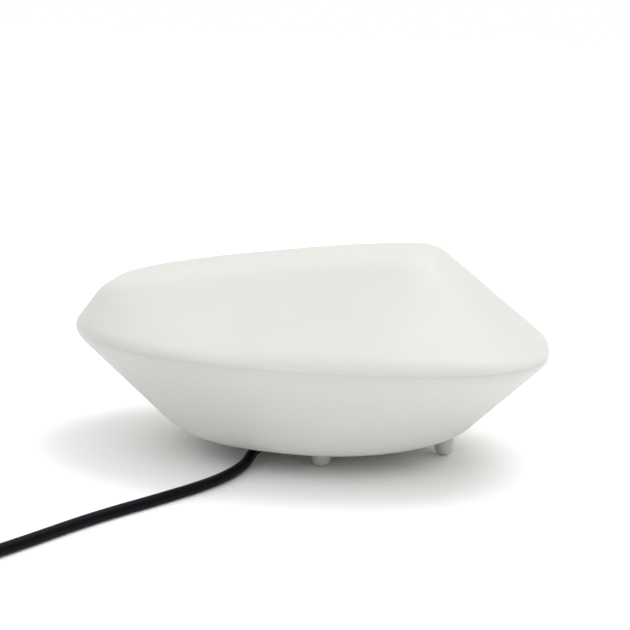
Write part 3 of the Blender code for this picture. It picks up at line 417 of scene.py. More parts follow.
def skin(name, rings):
    """A surface through rings of points. A circle is extruded once for each ring after the first,
    and the new points are set out on that ring. Rings shrunk to one point close as poles."""
    leave_edit_mode()
    bpy.ops.mesh.primitive_circle_add(vertices=len(rings[0]), fill_type="NOTHING")
    piece = bpy.context.object
    piece.name = piece.data.name = name
    order = piece.data.attributes.new("order", "INT", "POINT")
    for k, place in enumerate(rings[0]):
        piece.data.vertices[k].co = place
        order.data[k].value = k
    bpy.ops.object.mode_set(mode="EDIT")
    bpy.ops.mesh.select_all(action="SELECT")
    for ring in rings[1:]:
        bpy.ops.mesh.extrude_edges_move()
        shape = bmesh.from_edit_mesh(piece.data)
        number = shape.verts.layers.int["order"]
        for vert in shape.verts:
            if vert.select:
                vert.co = ring[vert[number]]
        bmesh.update_edit_mesh(piece.data)
    bpy.ops.mesh.select_all(action="SELECT")
    bpy.ops.mesh.remove_doubles(threshold=1e-6)
    bpy.ops.mesh.normals_make_consistent(inside=False)
    bpy.ops.object.mode_set(mode="OBJECT")
    piece.data.attributes.remove(piece.data.attributes["order"])
    return piece


def circle(radius, height, count):
    return [
        Vector((radius * cos(2 * pi * k / count), radius * sin(2 * pi * k / count), height))
        for k in range(count)
    ]


def circles(profile, count):
    """A circle for each (radius, height) of the profile."""
    return [circle(radius, height, count) for radius, height in profile]


def turned(name, profile, count=48):
    """A profile turned round Z, from one end on the axis to the other."""
    return skin(name, circles(profile, count))


def fluted(radius, height, count, flutes, depth):
    """A circle with rounded flutes, depth deep, round its edge."""
    ring = []
    for k in range(count):
        angle = 2 * pi * k / count
        reach = radius - depth * (0.5 - 0.5 * cos(flutes * angle)) ** 2
        ring.append(Vector((reach * cos(angle), reach * sin(angle), height)))
    return ring


def grip(radius, low, high, count, flutes, depth, start):
    """A band of flutes from low to high, whose ends have the start share of their depth."""
    ends = ((low + 0.0006, start), (low + 0.0014, 1.0), (high - 0.0014, 1.0), (high - 0.0006, start))
    return [fluted(radius, height, count, flutes, depth * share) for height, share in ends]


def rib(radius, low, high, groove, nick, edge):
    """Profile of a rib from low to high that stands out of a groove, with softened edges."""
    across, up = nick
    return [
        (radius - groove, low), (radius - across, low + up), (radius, low + edge),
        (radius, high - edge), (radius - across, high - up), (radius - groove, high),
    ]


def select_edges(piece, wanted):
    """Leaves piece in edit mode with the edges selected for which wanted(start, end) holds."""
    bpy.context.view_layer.objects.active = piece
    bpy.ops.object.mode_set(mode="EDIT")
    bpy.ops.mesh.select_mode(type="EDGE")
    bpy.ops.mesh.select_all(action="DESELECT")
    shape = bmesh.from_edit_mesh(piece.data)
    for edge in shape.edges:
        edge.select_set(wanted(edge.verts[0].co, edge.verts[1].co))
    bmesh.update_edit_mesh(piece.data)


def soften(piece, width):
    """Bevels every edge that isn't nearly flat."""
    bevel = piece.modifiers.new("edges", "BEVEL")
    bevel.width = width
    bevel.segments = 2
    bevel.limit_method = "ANGLE"
    bevel.angle_limit = radians(30.0)
    apply_all(piece)


def apply_all(piece):
    pick(piece)
    for modifier in list(piece.modifiers):
        bpy.ops.object.modifier_apply(modifier=modifier.name)


def cut(piece, cutters):
    for cutter in cutters:
        modifier = piece.modifiers.new("cut", "BOOLEAN")
        modifier.operation = "DIFFERENCE"
        modifier.solver = "EXACT"
        modifier.object = cutter
    apply_all(piece)
    for cutter in cutters:
        bpy.data.objects.remove(cutter)


def put(piece, matrix):
    """Moves the piece's mesh by matrix; its object stays at the origin."""
    pick(piece)
    piece.matrix_world = matrix
    bpy.ops.object.transform_apply(location=True, rotation=True, scale=True)


def finish_piece(piece, slot, *nodes, body=BODY, smoothing=radians(35.0)):
    """Gives the piece its finish and shading, hangs it on its body's empty and hides the nodes that
    it stands in for.
    """
    pick(piece)
    if piece.type == "MESH":
        bpy.ops.object.shade_smooth_by_angle(angle=smoothing)
    piece.data.materials.clear()
    piece.data.materials.append(finish_of(slot))
    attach(piece, body)
    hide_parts(*nodes)


def copy_out(model, slot, rows):
    """A copy of the model with its own mesh for each (name, node, matrix), and the model goes."""
    for name, node, matrix in rows:
        piece = model.copy()
        piece.data = model.data.copy()
        piece.name = piece.data.name = name
        bpy.context.scene.collection.objects.link(piece)
        put(piece, matrix)
        finish_piece(piece, slot, node)
    bpy.data.objects.remove(model)


def flat_direction(heading):
    return Vector((cos(heading), sin(heading), 0.0))


def along(direction, origin):
    """The frame whose Z runs along direction from origin."""
    return Matrix.Translation(origin) @ direction.to_track_quat("Z", "Y").to_matrix().to_4x4()


# Housing surface


def signed_power(value, power):
    return abs(value) ** power * (1 if value >= 0 else -1)


def outline_point(section, angle, inset=0.0):
    toward_tail = cos(angle) >= 0
    reach = (section.tail if toward_tail else section.nose) - inset
    power = section.tail_power if toward_tail else section.nose_power
    return Vector((
        section.centre + reach * signed_power(cos(angle), 2 / power),
        (section.half_width - inset) * signed_power(sin(angle), 2 / power),
        0.0,
    ))


def roof_height(x):
    return ROOF_HEIGHT + tan(ROOF_SLOPE) * x


def crown_point(edge, share, lift):
    """On the domed roof: share is 1 at its edge and 0 at its middle."""
    hub = Vector((ROOF.centre, 0.0, roof_height(ROOF.centre) - lift))
    point = hub.lerp(edge, share)
    point.z += ROOF_CROWN * (1 - share * share)
    return point


def corner_curve(before, corner, after, reach, steps):
    """Points of a rounded corner, from the side of before to the side of after."""
    back, ahead = before - corner, after - corner
    start = corner + back.normalized() * min(reach, back.length * CORNER_SHARE)
    end = corner + ahead.normalized() * min(reach, ahead.length * CORNER_SHARE)
    shares = [step / (steps - 1) for step in range(steps)]
    return [start * (1 - s) ** 2 + corner * 2 * s * (1 - s) + end * s * s for s in shares]


def between(start, end, count):
    """count points evenly between start and end, without them."""
    return [start.lerp(end, (k + 1) / (count + 1)) for k in range(count)]


def belt_reach(sizes, angle):
    """How far the belt's corner is rounded: tight at the nose and the tail, wide at the sides."""
    return sizes.belt_rounding + (sizes.side_rounding - sizes.belt_rounding) * sin(angle) ** 2


def edges_at(sizes, angle, inset, lift):
    """Corners of the section at one angle. A wider rounding starts from a corner further out, so
    that the belt keeps its width."""
    floor_edge = outline_point(FLOOR, angle, inset)
    floor_edge.z = FLOOR_HEIGHT + lift
    spare = (belt_reach(sizes, angle) - sizes.belt_rounding) * ROUNDING_LOSS
    belt_edge = outline_point(BELT, angle, inset - spare)
    belt_edge.z = BELT_HEIGHT
    roof_edge = outline_point(ROOF, angle, inset)
    roof_edge.z = roof_height(roof_edge.x) - lift
    return floor_edge, belt_edge, roof_edge


def lower_column(sizes, angle, inset, lift, rim, steps):
    """Points up the lower half at one angle, from the middle of the floor to the rim."""
    floor_edge, belt_edge, roof_edge = edges_at(sizes, angle, inset, lift)
    hub = Vector((FLOOR.centre, 0.0, FLOOR_HEIGHT + lift))
    foot = corner_curve(hub, floor_edge, belt_edge, sizes.floor_rounding, steps)
    turn = corner_curve(
        floor_edge, belt_edge, roof_edge, belt_reach(sizes, angle), 2 * steps - 1)
    edge = turn[steps - 1].copy()
    edge.z = rim
    column = [hub] + between(hub, foot[0], steps // 2) + foot
    return column + between(foot[-1], turn[0], steps // 2) + turn[:steps - 1] + [edge]


def upper_column(sizes, angle, inset, lift, rim, steps):
    """Points up the upper half at one angle, from the rim to the middle of the roof."""
    floor_edge, belt_edge, roof_edge = edges_at(sizes, angle, inset, lift)
    turn = corner_curve(
        floor_edge, belt_edge, roof_edge, belt_reach(sizes, angle), 2 * steps - 1)
    edge = turn[steps - 1].copy()
    edge.z = rim
    inward = crown_point(roof_edge, BROW_SHARE, lift)
    brow = corner_curve(belt_edge, roof_edge, inward, sizes.roof_rounding, steps)
    middle = Vector((ROOF.centre, 0.0))
    start = (brow[-1].xy - middle).length / (roof_edge.xy - middle).length
    count = 2 * steps
    dome = [crown_point(roof_edge, start * (1 - (k + 1) / count), lift) for k in range(count)]
    return [edge] + turn[steps:] + between(turn[-1], brow[0], steps // 2) + brow + dome


def shell_rings(sizes, column, rim):
    """Rings over the outside of a half, across its rim and back along its inside."""
    count = sizes.outline_points
    angles = [2 * pi * (k + 0.5) / count for k in range(count)]
    wall = sizes.side_wall, sizes.flat_wall
    outer = [column(sizes, angle, 0.0, 0.0, rim, OUTER_STEPS) for angle in angles]
    inner = [column(sizes, angle, *wall, rim, INNER_STEPS) for angle in angles]
    return list(zip(*outer)), list(zip(*inner))


def rounded_rim(piece, rim, width):
    """Softens the outer edge of the rim, which is one side of the seam."""

    def on_rim(start, end):
        flat = abs(start.z - rim) < 1e-6 and abs(end.z - rim) < 1e-6
        short = (start - end).length < LONGEST_RIM_EDGE
        return flat and short and is_outer(start) and is_outer(end)

    select_edges(piece, on_rim)
    bpy.ops.mesh.bevel(offset=width, segments=3, affect="EDGES")
    leave_edit_mode()


def is_outer(point):
    """Whether a point at the rim's height is on the outside of the housing."""
    across = max(abs(point.y) / BELT.half_width, 1e-9)
    reach = BELT.tail if point.x >= BELT.centre else BELT.nose
    power = BELT.tail_power if point.x >= BELT.centre else BELT.nose_power
    ahead = abs(point.x - BELT.centre) / reach
    return across ** power + ahead ** power > OUTSIDE_LEVEL


# Operators


class GNSS_OT_top_cover(bpy.types.Operator):
    """Builds the upper half of the housing"""
    bl_idname = "gnss.top_cover"
    bl_label = "Top Cover"

    def execute(self, context):
        sizes = context.scene.gnss_housing
        rim = BELT_HEIGHT + sizes.seam / 2
        outer, inner = shell_rings(sizes, upper_column, rim)
        cover = skin("cover_shell", list(reversed(outer)) + inner)
        rounded_rim(cover, rim, sizes.seam_edge)
        finish_piece(cover, "housing_plastic", "top_cover", smoothing=WIDE_SMOOTHING)
        return {"FINISHED"}


class GNSS_OT_bottom_housing(bpy.types.Operator):
    """Builds the lower half of the housing with its screw wells and label recess"""
    bl_idname = "gnss.bottom_housing"
    bl_label = "Bottom Housing"

    def execute(self, context):
        sizes = context.scene.gnss_housing
        rim = BELT_HEIGHT - sizes.seam / 2
        outer, inner = shell_rings(sizes, lower_column, rim)
        tub = skin("tub_shell", outer + list(reversed(inner)))
        rounded_rim(tub, rim, sizes.seam_edge)
        cut(tub, floor_cutters())
        finish_piece(tub, "housing_plastic", "bottom_housing", smoothing=WIDE_SMOOTHING)
        return {"FINISHED"}


def disc(place, radius, height, depth, vertices=56):
    leave_edit_mode()
    bpy.ops.mesh.primitive_cylinder_add(
        vertices=vertices, radius=radius, depth=depth, location=(*place, height))
    return bpy.context.object


def floor_cutters():
    """Wells and holes through the floor, and a shallow blank recess for a label."""
    bores = [(place, WELL_RADIUS) for place in SCREW_PLACES]
    bores += [(place, FOOT_RADIUS + FIT / 2) for place in FEET.values()]
    bores += [(OUTLET, OUTLET_NECK + FIT / 2), (VENT, VENT_NECK + FIT / 2)]
    cutters = [disc(place, radius, FLOOR_HEIGHT, BORE_LENGTH) for place, radius in bores]
    leave_edit_mode()
    bpy.ops.mesh.primitive_cube_add(size=1.0, location=LABEL_PLACE)
    recess = bpy.context.object
    recess.scale = (*LABEL_SIZE, 2 * LABEL_DEPTH)
    bpy.ops.object.transform_apply(location=True, rotation=True, scale=True)
    select_edges(recess, lambda start, end: abs(start.z - end.z) > LABEL_DEPTH)
    bpy.ops.mesh.bevel(offset=LABEL_CORNER, segments=8, affect="EDGES")
    leave_edit_mode()
    return cutters + [recess]


class GNSS_OT_cable(bpy.types.Operator):
    """Builds the cable with its coil"""
    bl_idname = "gnss.cable"
    bl_label = "Cable"

    def execute(self, context):
        sizes = context.scene.gnss_cable
        points = cable_points(sizes)
        curve = bpy.data.curves.new("cable", "CURVE")
        curve.dimensions = "3D"
        curve.bevel_depth = sizes.radius
        curve.bevel_resolution = 4
        curve.resolution_u = 4
        curve.use_fill_caps = True
        spline = curve.splines.new("BEZIER")
        spline.bezier_points.add(len(points) - 1)
        for knot, place in zip(spline.bezier_points, points):
            knot.co = place
            knot.handle_left_type = knot.handle_right_type = "AUTO"
        cable = bpy.data.objects.new("cable", curve)
        context.scene.collection.objects.link(cable)
        finish_piece(cable, "cable_jacket", "cable_run", "cable_coil", "cable_tail")
        return {"FINISHED"}


def winding_radius(sizes):
    """From the coil's middle to its outermost turn."""
    return sizes.coil_mean_radius + sizes.pitch * (sizes.columns - 1) / 2


def coil_centre(sizes):
    """The route runs into the outer turn, with the coil on its right."""
    end = Vector(CABLE_ROUTE[-1])
    heading = (end - Vector(CABLE_ROUTE[-2])).to_2d().normalized()
    return end.to_2d() + Vector((heading.y, -heading.x)) * winding_radius(sizes)


def cable_points(sizes):
    """Along the floor, into the coil from its bottom layer to its top one, and to the connector."""
    start = Vector((*OUTLET, OUTLET_AXIS_HEIGHT))
    start += flat_direction(OUTLET_HEADING) * (OUTLET_RADIUS + RELIEF_LENGTH + 2 * FIT)
    route = [Vector(place) for place in CABLE_ROUTE]
    points = [start] + route[1:-1]

    centre = coil_centre(sizes)
    entry = atan2(route[-1].y - centre.y, route[-1].x - centre.x)
    turns = sizes.turns + ((entry - COIL_EXIT) % (2 * pi)) / (2 * pi)
    span = (turns - COIL_CLIMB * (sizes.layers - 1)) / sizes.layers
    winding = winding_radius(sizes)
    width = sizes.pitch * (sizes.columns - 1)
    count = round(turns * KNOTS_PER_TURN)
    for step in range(count + 1):
        turn = turns * step / count
        layer = min(int(turn / (span + COIL_CLIMB)), sizes.layers - 1)
        within = turn - layer * (span + COIL_CLIMB)
        across = min(within / span, 1.0)
        rise = max(0.0, (within - span) / COIL_CLIMB)
        rise = rise * rise * (3 - 2 * rise)
        radius = winding - width * (across if layer % 2 == 0 else 1 - across)
        angle = entry - 2 * pi * turn
        points.append(Vector((
            centre.x + radius * cos(angle),
            centre.y + radius * sin(angle),
            COIL_BASE + sizes.pitch * (0.5 + layer + rise),
        )))

    leave = points[-1]
    heading = flat_direction(COIL_EXIT - pi / 2)
    end = leave + heading * (TAIL_LENGTH - FIT)
    for share, height_share in TAIL_FALL:
        place = leave.lerp(end, share)
        place.z = CONNECTOR_AXIS_HEIGHT + (leave.z - CONNECTOR_AXIS_HEIGHT) * height_share
        points.append(place)
    return points


class GNSS_OT_feet(bpy.types.Operator):
    """Builds the four round feet"""
    bl_idname = "gnss.feet"
    bl_label = "Feet"

    def execute(self, context):
        steps = 14
        sink = FOOT_RADIUS * (1 - cos(FOOT_FLAT))
        turns = [FOOT_FLAT + (pi / 2 - FOOT_FLAT) * k / steps for k in range(steps + 1)]
        dome = [(FOOT_RADIUS * sin(turn), FOOT_RADIUS * (1 - cos(turn)) - sink) for turn in turns]
        low, top, flange, edge = 0.0143, 0.0163, 0.0060, 0.0002
        profile = [(0.0, 0.0), (dome[0][0] * 0.55, 0.0), *dome]
        profile += [
            (FOOT_RADIUS, low), (flange - edge, low), (flange, low + edge),
            (flange, top - edge), (flange - edge, top), (0.0, top),
        ]
        copy_out(turned("round_foot", profile, 56), "foot_plastic", [
            (node.replace("foot", "round_foot"), node, Matrix.Translation((*place, 0.0)))
            for node, place in FEET.items()
        ])
        return {"FINISHED"}


class GNSS_OT_underside_fittings(bpy.types.Operator):
    """Builds the screw plugs, the vent, the cable outlet and its strain relief"""
    bl_idname = "gnss.underside_fittings"
    bl_label = "Underside Fittings"

    def execute(self, context):
        self.build_plugs()
        self.build_vent()
        self.build_outlet()
        self.build_relief()
        return {"FINISHED"}

    def build_plugs(self):
        """A plug in each screw well, with a sunk middle and a groove round it."""
        base = FLOOR_HEIGHT + FIT
        profile = [(radius, base + height) for radius, height in (
            (0.0, 0.0004), (0.0009, 0.0004), (0.0012, 0.0), (0.0022, 0.0), (0.0024, 0.0003),
            (0.0027, 0.0003), (0.0029, 0.0), (0.0031, 0.0002), (0.0032, 0.0005),
            (0.0032, 0.0026), (0.0, 0.0026),
        )]
        copy_out(turned("well_plug", profile, 40), "grey_rubber", [
            (f"well_plug_{k}", f"screw_plug_{k}", Matrix.Translation((*place, 0.0)))
            for k, place in enumerate(SCREW_PLACES, 1)
        ])

    def build_vent(self):
        """A capped vent: air passes between the notches of its edge."""
        top = FLOOR_HEIGHT - FIT
        low = top - 0.0016
        count, notches = 96, 12
        rings = circles([
            (0.0, low + 0.0003), (0.0026, low + 0.0003), (0.0030, low), (0.0050, low)], count)
        rings += [
            fluted(0.0056, low, count, notches, 0.0004),
            fluted(0.0060, low + 0.0004, count, notches, 0.0005),
            fluted(0.0060, top, count, notches, 0.0005),
        ]
        rings += circles([
            (VENT_NECK, top), (VENT_NECK, 0.0134), (VENT_NECK - 0.0002, 0.0136), (0.0, 0.0136),
        ], count)
        vent = skin("vent_cap", rings)
        put(vent, Matrix.Translation((*VENT, 0.0)))
        finish_piece(vent, "black_plastic", "vent_plug")

    def build_outlet(self):
        """The low elbow's body, with flats for a spanner, and its neck through the floor."""
        top = FLOOR_HEIGHT - FIT
        count, flats = 96, 8
        rings = circles([(0.0, 0.0009), (0.0030, 0.0009)], count)
        rings += [fluted(radius, height, count, flats, depth) for radius, height, depth in (
            (0.0046, 0.0009, 0.00015), (0.0055, 0.0013, 0.0003),
            (OUTLET_RADIUS, 0.0023, 0.0004), (OUTLET_RADIUS, 0.0052, 0.0004),
        )]
        rings += circles([
            (0.0056, 0.0056), (0.0056, 0.0062), (OUTLET_RADIUS, 0.0065), (OUTLET_RADIUS, 0.0073),
            (0.0056, top), (OUTLET_NECK, top), (OUTLET_NECK, 0.0173), (0.0030, 0.0175),
            (0.0, 0.0175),
        ], count)
        outlet = skin("outlet_elbow", rings)
        put(outlet, Matrix.Translation((*OUTLET, 0.0)))
        finish_piece(outlet, "black_rubber", "cable_outlet")

    def build_relief(self):
        """A tapered sleeve with a flange at its root and ribs that let it bend."""
        root, tip = 0.0033, 0.0027
        profile = [(0.0, 0.0), (0.0032, 0.0), (0.0034, 0.0002), (0.0034, 0.0016), (0.0032, 0.0018)]
        first, last, ribs = 0.0024, 0.0186, 8
        for number in range(ribs):
            low = first + (last - first) * number / ribs
            high = low + (last - first) / ribs * 0.62
            radius = root + (tip - root) * (low / RELIEF_LENGTH)
            profile += rib(radius, low, high, 0.00050, (0.00012, 0.00008), 0.00025)
        profile += [
            (tip - 0.0002, last), (tip - 0.0001, RELIEF_LENGTH - 0.0002),
            (tip - 0.0003, RELIEF_LENGTH), (0.0, RELIEF_LENGTH),
        ]
        start = Vector((*OUTLET, OUTLET_AXIS_HEIGHT))
        start += flat_direction(OUTLET_HEADING) * (OUTLET_RADIUS + FIT)
        relief = turned("relief_sleeve", profile)
        put(relief, along(flat_direction(OUTLET_HEADING), start))
        finish_piece(relief, "black_rubber", "strain_relief")


class GNSS_OT_coil_tie(bpy.types.Operator):
    """Builds the strap round the coil"""
    bl_idname = "gnss.coil_tie"
    bl_label = "Coil Tie"

    def execute(self, context):
        sizes = context.scene.gnss_cable
        half_coil = sizes.pitch * sizes.columns / 2
        inner = sizes.coil_mean_radius - half_coil
        near = (inner ** 2 - TIE_HALF_WIDTH ** 2) ** 0.5 - 2 * FIT
        far = sizes.coil_mean_radius + half_coil + 2 * FIT
        top = COIL_BASE + sizes.pitch * sizes.layers + 2 * FIT
        loop = strap_path(near, far, COIL_BASE - 2 * FIT, top)
        centre = coil_centre(sizes)
        place = Matrix.Translation((centre.x, centre.y, 0.0))
        place = place @ Matrix.Rotation(TIE_ANGLE, 4, "Z")
        leave_edit_mode()
        bpy.ops.mesh.primitive_circle_add(vertices=len(loop), fill_type="NOTHING")
        strap = context.object
        strap.name = strap.data.name = "coil_strap"
        for vertex, (across, up) in zip(strap.data.vertices, loop):
            vertex.co = (across, -TIE_HALF_WIDTH, up)
        bpy.ops.object.mode_set(mode="EDIT")
        bpy.ops.mesh.select_all(action="SELECT")
        steps = 8
        for _ in range(steps):
            bpy.ops.mesh.extrude_edges_move(
                TRANSFORM_OT_translate={"value": (0.0, 2 * TIE_HALF_WIDTH / steps, 0.0)})
        leave_edit_mode()
        thickness = strap.modifiers.new("thickness", "SOLIDIFY")
        thickness.thickness = TIE_THICKNESS
        thickness.offset = 0.0
        apply_all(strap)
        soften(strap, 0.0002)
        bpy.ops.object.mode_set(mode="EDIT")
        bpy.ops.mesh.select_all(action="SELECT")
        bpy.ops.mesh.normals_make_consistent(inside=False)
        put(strap, place)
        finish_piece(strap, "tie_fabric", "coil_tie")
        return {"FINISHED"}


def strap_path(near, far, low, top):
    """Round a section of the coil from its outer top corner, as (across, up) a step apart."""
    left, right = near + TIE_CORNER, far - TIE_CORNER
    bottom, head = low + TIE_CORNER, top - TIE_CORNER
    path = []
    for across, up, first in ((right, head, 0.0), (left, head, 90.0),
                              (left, bottom, 180.0), (right, bottom, 270.0)):
        for step in range(9):
            angle = radians(first + 90.0 * step / 8)
            path.append((across + TIE_CORNER * cos(angle), up + TIE_CORNER * sin(angle)))
    spaced = []
    for start, end in zip(path, path[1:] + path[:1]):
        count = max(1, round(dist(start, end) / TIE_STEP))
        spaced += [[a + (b - a) * k / count for a, b in zip(start, end)] for k in range(count)]
    return spaced


class GNSS_OT_connector(bpy.types.Operator):
    """Builds the cable's screw connector: boot, shell, insert, pins and coupling nut"""
    bl_idname = "gnss.connector"
    bl_label = "Connector"

    def execute(self, context):
        self.sizes = context.scene.gnss_connector
        heading = flat_direction(COIL_EXIT - pi / 2)
        cable = context.scene.gnss_cable
        start = coil_centre(cable).to_3d() + flat_direction(COIL_EXIT) * winding_radius(cable)
        start += heading * TAIL_LENGTH
        start.z = CONNECTOR_AXIS_HEIGHT
        self.frame = along(heading, start)
        self.build_boot()
        self.build_shell()
        self.build_insert()
        self.build_nut()
        return {"FINISHED"}

    def build_boot(self):
        length = self.sizes.boot_length
        tip, root = 0.0030, 0.0052
        profile = [(0.0, 0.0), (tip - 0.0004, 0.0), (tip - 0.0001, 0.0003), (tip - 0.0001, 0.0014)]
        first, last, ribs = 0.0018, length - 0.0044, 6
        for number in range(ribs):
            low = first + (last - first) * number / ribs
            high = low + (last - first) / ribs * 0.62
            radius = tip + (root - tip) * (high / (length - 0.0040))
            profile += rib(radius, low, high, 0.0006, (0.0001, 0.0001), 0.0003)
        profile += [
            (root - 0.0006, last), (root - 0.0001, last + 0.0002), (root, last + 0.0005),
            (root, length - 0.0003), (root - 0.0003, length), (0.0, length),
        ]
        boot = turned("boot_sleeve", profile)
        put(boot, self.frame)
        finish_piece(boot, "black_rubber", "connector_boot")

    def marks(self):
        """Heights of the shell's back, of its shoulder and of the collar's front."""
        base = self.sizes.boot_length + FIT
        shoulder = base + self.sizes.shell_length
        return base, shoulder, shoulder + COLLAR_LENGTH

    def build_shell(self):
        base, shoulder, front = self.marks()
        outer = self.sizes.shell_radius
        count = 144
        rings = circles([
            (0.0, base), (outer - 0.0012, base), (outer - 0.0003, base + 0.0004),
            (outer, base + 0.0012), (outer, base + 0.0030),
        ], count)
        grip_low, grip_high = base + 0.0036, shoulder - 0.0052
        rings += grip(outer, grip_low, grip_high, count, 18, 0.00045, 0.4)
        land = shoulder + 0.0050 + 2 * FIT
        bore, end = 0.0037, front - SOCKET_DEPTH
        rings += circles([
            (outer, grip_high), (outer, shoulder - 0.0040), (outer - 0.0004, shoulder - 0.0038),
            (outer - 0.0004, shoulder - 0.0032), (outer, shoulder - 0.0030),
            (outer, shoulder - 0.0003), (outer - 0.0003, shoulder), (0.0045, shoulder),
            (0.0045, land), (0.0054, land), (0.0054, land + 0.0016), (0.0045, land + 0.0016),
            (0.0045, front - 0.0003), (0.0042, front), (bore + 0.0002, front),
            (bore, front - 0.0002), (bore, end), (0.0, end),
        ], count)
        shell = skin("grip_shell", rings)
        put(shell, self.frame)
        finish_piece(shell, "black_plastic", "connector_shell")

    def build_insert(self):
        """The plug in the socket, and the pins that stand out of it."""
        _, _, front = self.marks()
        low = front - SOCKET_DEPTH + FIT
        high = low + 0.0030
        tip, shank = front - 0.0010, PIN_RADIUS
        insert = turned("pin_insert", [
            (0.0, low), (0.0034, low), (0.0034, high - 0.0002), (0.0032, high), (0.0, high)])
        turns = [2 * pi * (k + 0.5) / PINS for k in range(PINS)]
        spots = [Vector((PIN_CIRCLE * cos(turn), PIN_CIRCLE * sin(turn), 0.0)) for turn in turns]
        cut(insert, [disc(spot.xy, 0.00060, (low + high) / 2, 0.0060, 24) for spot in spots])
        put(insert, self.frame)
        finish_piece(insert, "black_plastic", "connector_insert")
        pin = turned("contact_pin", [
            (0.0, low + FIT), (shank, low + FIT), (shank, tip - shank),
            (shank * 0.92, tip - shank * 0.6), (shank * 0.70, tip - shank * 0.29),
            (shank * 0.38, tip - shank * 0.08), (0.0, tip),
        ], 24)
        copy_out(pin, "gold", [
            (f"contact_pin_{k}", f"connector_pin_{k}", self.frame @ Matrix.Translation(spot))
            for k, spot in enumerate(spots, 1)
        ])

    def build_nut(self):
        """A knurled ring with a land that holds it on the collar, and a thread inside."""
        _, shoulder, _ = self.marks()
        low = shoulder + FIT
        high = low + self.sizes.nut_length
        outer = self.sizes.nut_radius
        knurls = self.sizes.knurls
        count = 8 * knurls
        land, bore, crest = 0.0048, 0.0057, 0.0055
        rings = circles([
            (land, low), (outer - 0.0010, low), (outer - 0.0004, low + 0.0004)], count)
        rings += grip(outer, low + 0.0006, high - 0.0022, count, knurls, 0.00040, 0.3)
        profile = [
            (outer - 0.0003, high - 0.0024), (outer - 0.0003, high - 0.0005),
            (outer - 0.0008, high), (bore + 0.0004, high), (bore, high - 0.0004),
        ]
        pitch, threads = 0.0010, 7
        for number in range(threads):
            start = high - 0.0008 - number * pitch
            profile += [(bore, start), (crest, start - pitch * 0.45), (crest, start - pitch * 0.55)]
        profile += [
            (bore, high - 0.0008 - threads * pitch), (bore, low + 0.0050), (land, low + 0.0050),
            (land, low),
        ]
        rings += circles(profile, count)
        nut = skin("knurled_nut", rings)
        put(nut, self.frame)
        finish_piece(nut, "nickel", "coupling_nut", body=NUT_BODY, smoothing=WIDE_SMOOTHING)


class GNSS_OT_inside(bpy.types.Operator):
    """Gives every piece inside the housing its finish"""
    bl_idname = "gnss.inside"
    bl_label = "Inside"

    def execute(self, context):
        for row in frame["record"]["subparts"]:
            for material_slot in frame["nodes"][row["node"]].material_slots:
                material_slot.material = finish_of(row["material_slot"])
        return {"FINISHED"}


class GNSS_OT_stage(bpy.types.Operator):
    """Builds the floor, the lamps and the camera"""
    bl_idname = "gnss.stage"
    bl_label = "Stage"

    def execute(self, context):
        sizes = context.scene.gnss_stage
        leave_edit_mode()
        bpy.ops.mesh.primitive_plane_add(size=FLOOR_SIZE, location=(0.0, 0.0, 0.0))
        floor = context.object
        floor.name = "floor"
        paint = Finish("floor_paint", roughness=0.9)
        paint.color(paint.grain(0.5), shade(sizes.floor, 0.99), tuple(sizes.floor))
        floor.data.materials.append(paint.material)

        look_at = Vector((BELT.centre, 0.0, BELT_HEIGHT))
        level = cos(sizes.elevation)
        back = Vector((
            sin(sizes.azimuth) * level, -cos(sizes.azimuth) * level, sin(sizes.elevation)))
        camera = bpy.data.objects.new("camera", bpy.data.cameras.new("camera"))
        context.scene.collection.objects.link(camera)
        camera.rotation_mode = "QUATERNION"
        camera.location = look_at + back * sizes.distance
        roll = Matrix.Rotation(sizes.roll, 3, "Z").to_quaternion()
        camera.rotation_quaternion = (-back).to_track_quat("-Z", "Y") @ roll
        camera.data.lens = sizes.lens
        camera.data.shift_x, camera.data.shift_y = sizes.shift
        camera.data.clip_start = 0.01
        context.scene.camera = camera

        add_sun(sizes.sun_direction, sizes.sun_strength)
        add_surround(context, sizes)
        context.scene.view_settings.view_transform = "Standard"
        return {"FINISHED"}


def add_sun(direction, strength):
    """A broad distant lamp, so that the floor is as bright far off as near."""
    lamp = bpy.data.lights.new("key_lamp", "SUN")
    lamp.angle = radians(35.0)
    lamp.energy = strength
    holder = bpy.data.objects.new("key_lamp", lamp)
    bpy.context.scene.collection.objects.link(holder)
    holder.rotation_mode = "QUATERNION"
    holder.rotation_quaternion = (-Vector(direction)).to_track_quat("-Z", "Y")
    holder.location = Vector(direction)


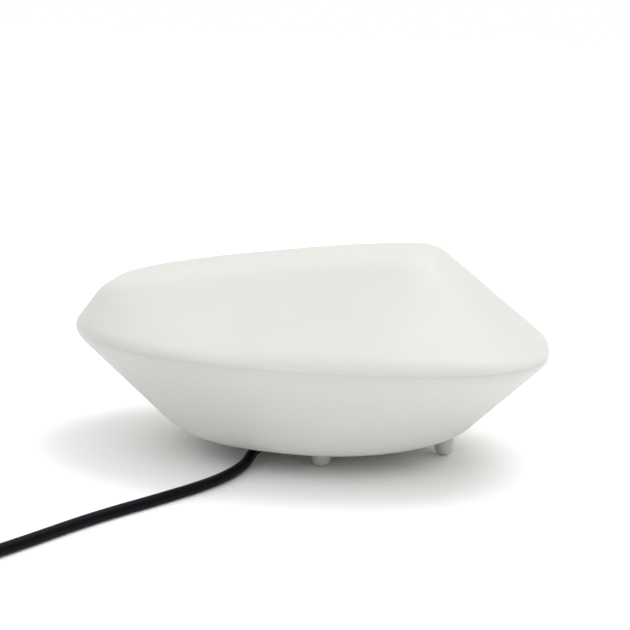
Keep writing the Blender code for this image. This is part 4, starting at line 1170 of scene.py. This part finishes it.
def add_surround(context, sizes):
    """White all round, brighter overhead than at the horizon; plain white where it is looked at."""
    world = bpy.data.worlds.new("surround")
    context.scene.world = world
    world.use_nodes = True
    nodes, links = world.node_tree.nodes, world.node_tree.links
    coordinates = nodes.new("ShaderNodeTexCoord")
    split = nodes.new("ShaderNodeSeparateXYZ")
    grade = nodes.new("ShaderNodeMapRange")
    grade.inputs["To Min"].default_value = sizes.horizon
    grade.inputs["To Max"].default_value = sizes.overhead
    looked_at = nodes.new("ShaderNodeLightPath")
    blend = nodes.new("ShaderNodeMix")
    blend.inputs["B"].default_value = 1.0
    background = nodes["Background"]
    background.inputs["Color"].default_value = (1.0, 1.0, 1.0, 1.0)
    links.new(coordinates.outputs["Generated"], split.inputs["Vector"])
    links.new(split.outputs["Z"], grade.inputs["Value"])
    links.new(looked_at.outputs["Is Camera Ray"], blend.inputs["Factor"])
    links.new(grade.outputs["Result"], blend.inputs["A"])
    links.new(blend.outputs["Result"], background.inputs["Strength"])


OPERATORS = (
    GNSS_OT_stage,
    GNSS_OT_inside,
    GNSS_OT_top_cover,
    GNSS_OT_bottom_housing,
    GNSS_OT_feet,
    GNSS_OT_underside_fittings,
    GNSS_OT_coil_tie,
    GNSS_OT_connector,
    GNSS_OT_cable,
)
SETTINGS = (
    ("gnss_housing", HousingSettings),
    ("gnss_cable", CableSettings),
    ("gnss_connector", ConnectorSettings),
    ("gnss_stage", StageSettings),
)


class GNSS_PT_receiver(bpy.types.Panel):
    """Lists the pieces and their sizes"""
    bl_idname = "GNSS_PT_receiver"
    bl_label = "GNSS Receiver"
    bl_space_type = "VIEW_3D"
    bl_region_type = "UI"
    bl_category = "Receiver"

    def draw(self, context):
        for operator in OPERATORS:
            self.layout.operator(operator.bl_idname)
        for name, kind in SETTINGS:
            box = self.layout.box()
            for setting in kind.__annotations__:
                box.prop(getattr(context.scene, name), setting)


def register():
    for name, kind in SETTINGS:
        bpy.utils.register_class(kind)
        setattr(bpy.types.Scene, name, bpy.props.PointerProperty(type=kind))
    for operator in OPERATORS:
        bpy.utils.register_class(operator)
    bpy.utils.register_class(GNSS_PT_receiver)


def unregister():
    bpy.utils.unregister_class(GNSS_PT_receiver)
    for operator in reversed(OPERATORS):
        bpy.utils.unregister_class(operator)
    for name, kind in reversed(SETTINGS):
        delattr(bpy.types.Scene, name)
        bpy.utils.unregister_class(kind)


def main():
    register()
    for operator in OPERATORS:
        family, name = operator.bl_idname.split(".")
        getattr(getattr(bpy.ops, family), name)()


if __name__ == "__main__":
    main()
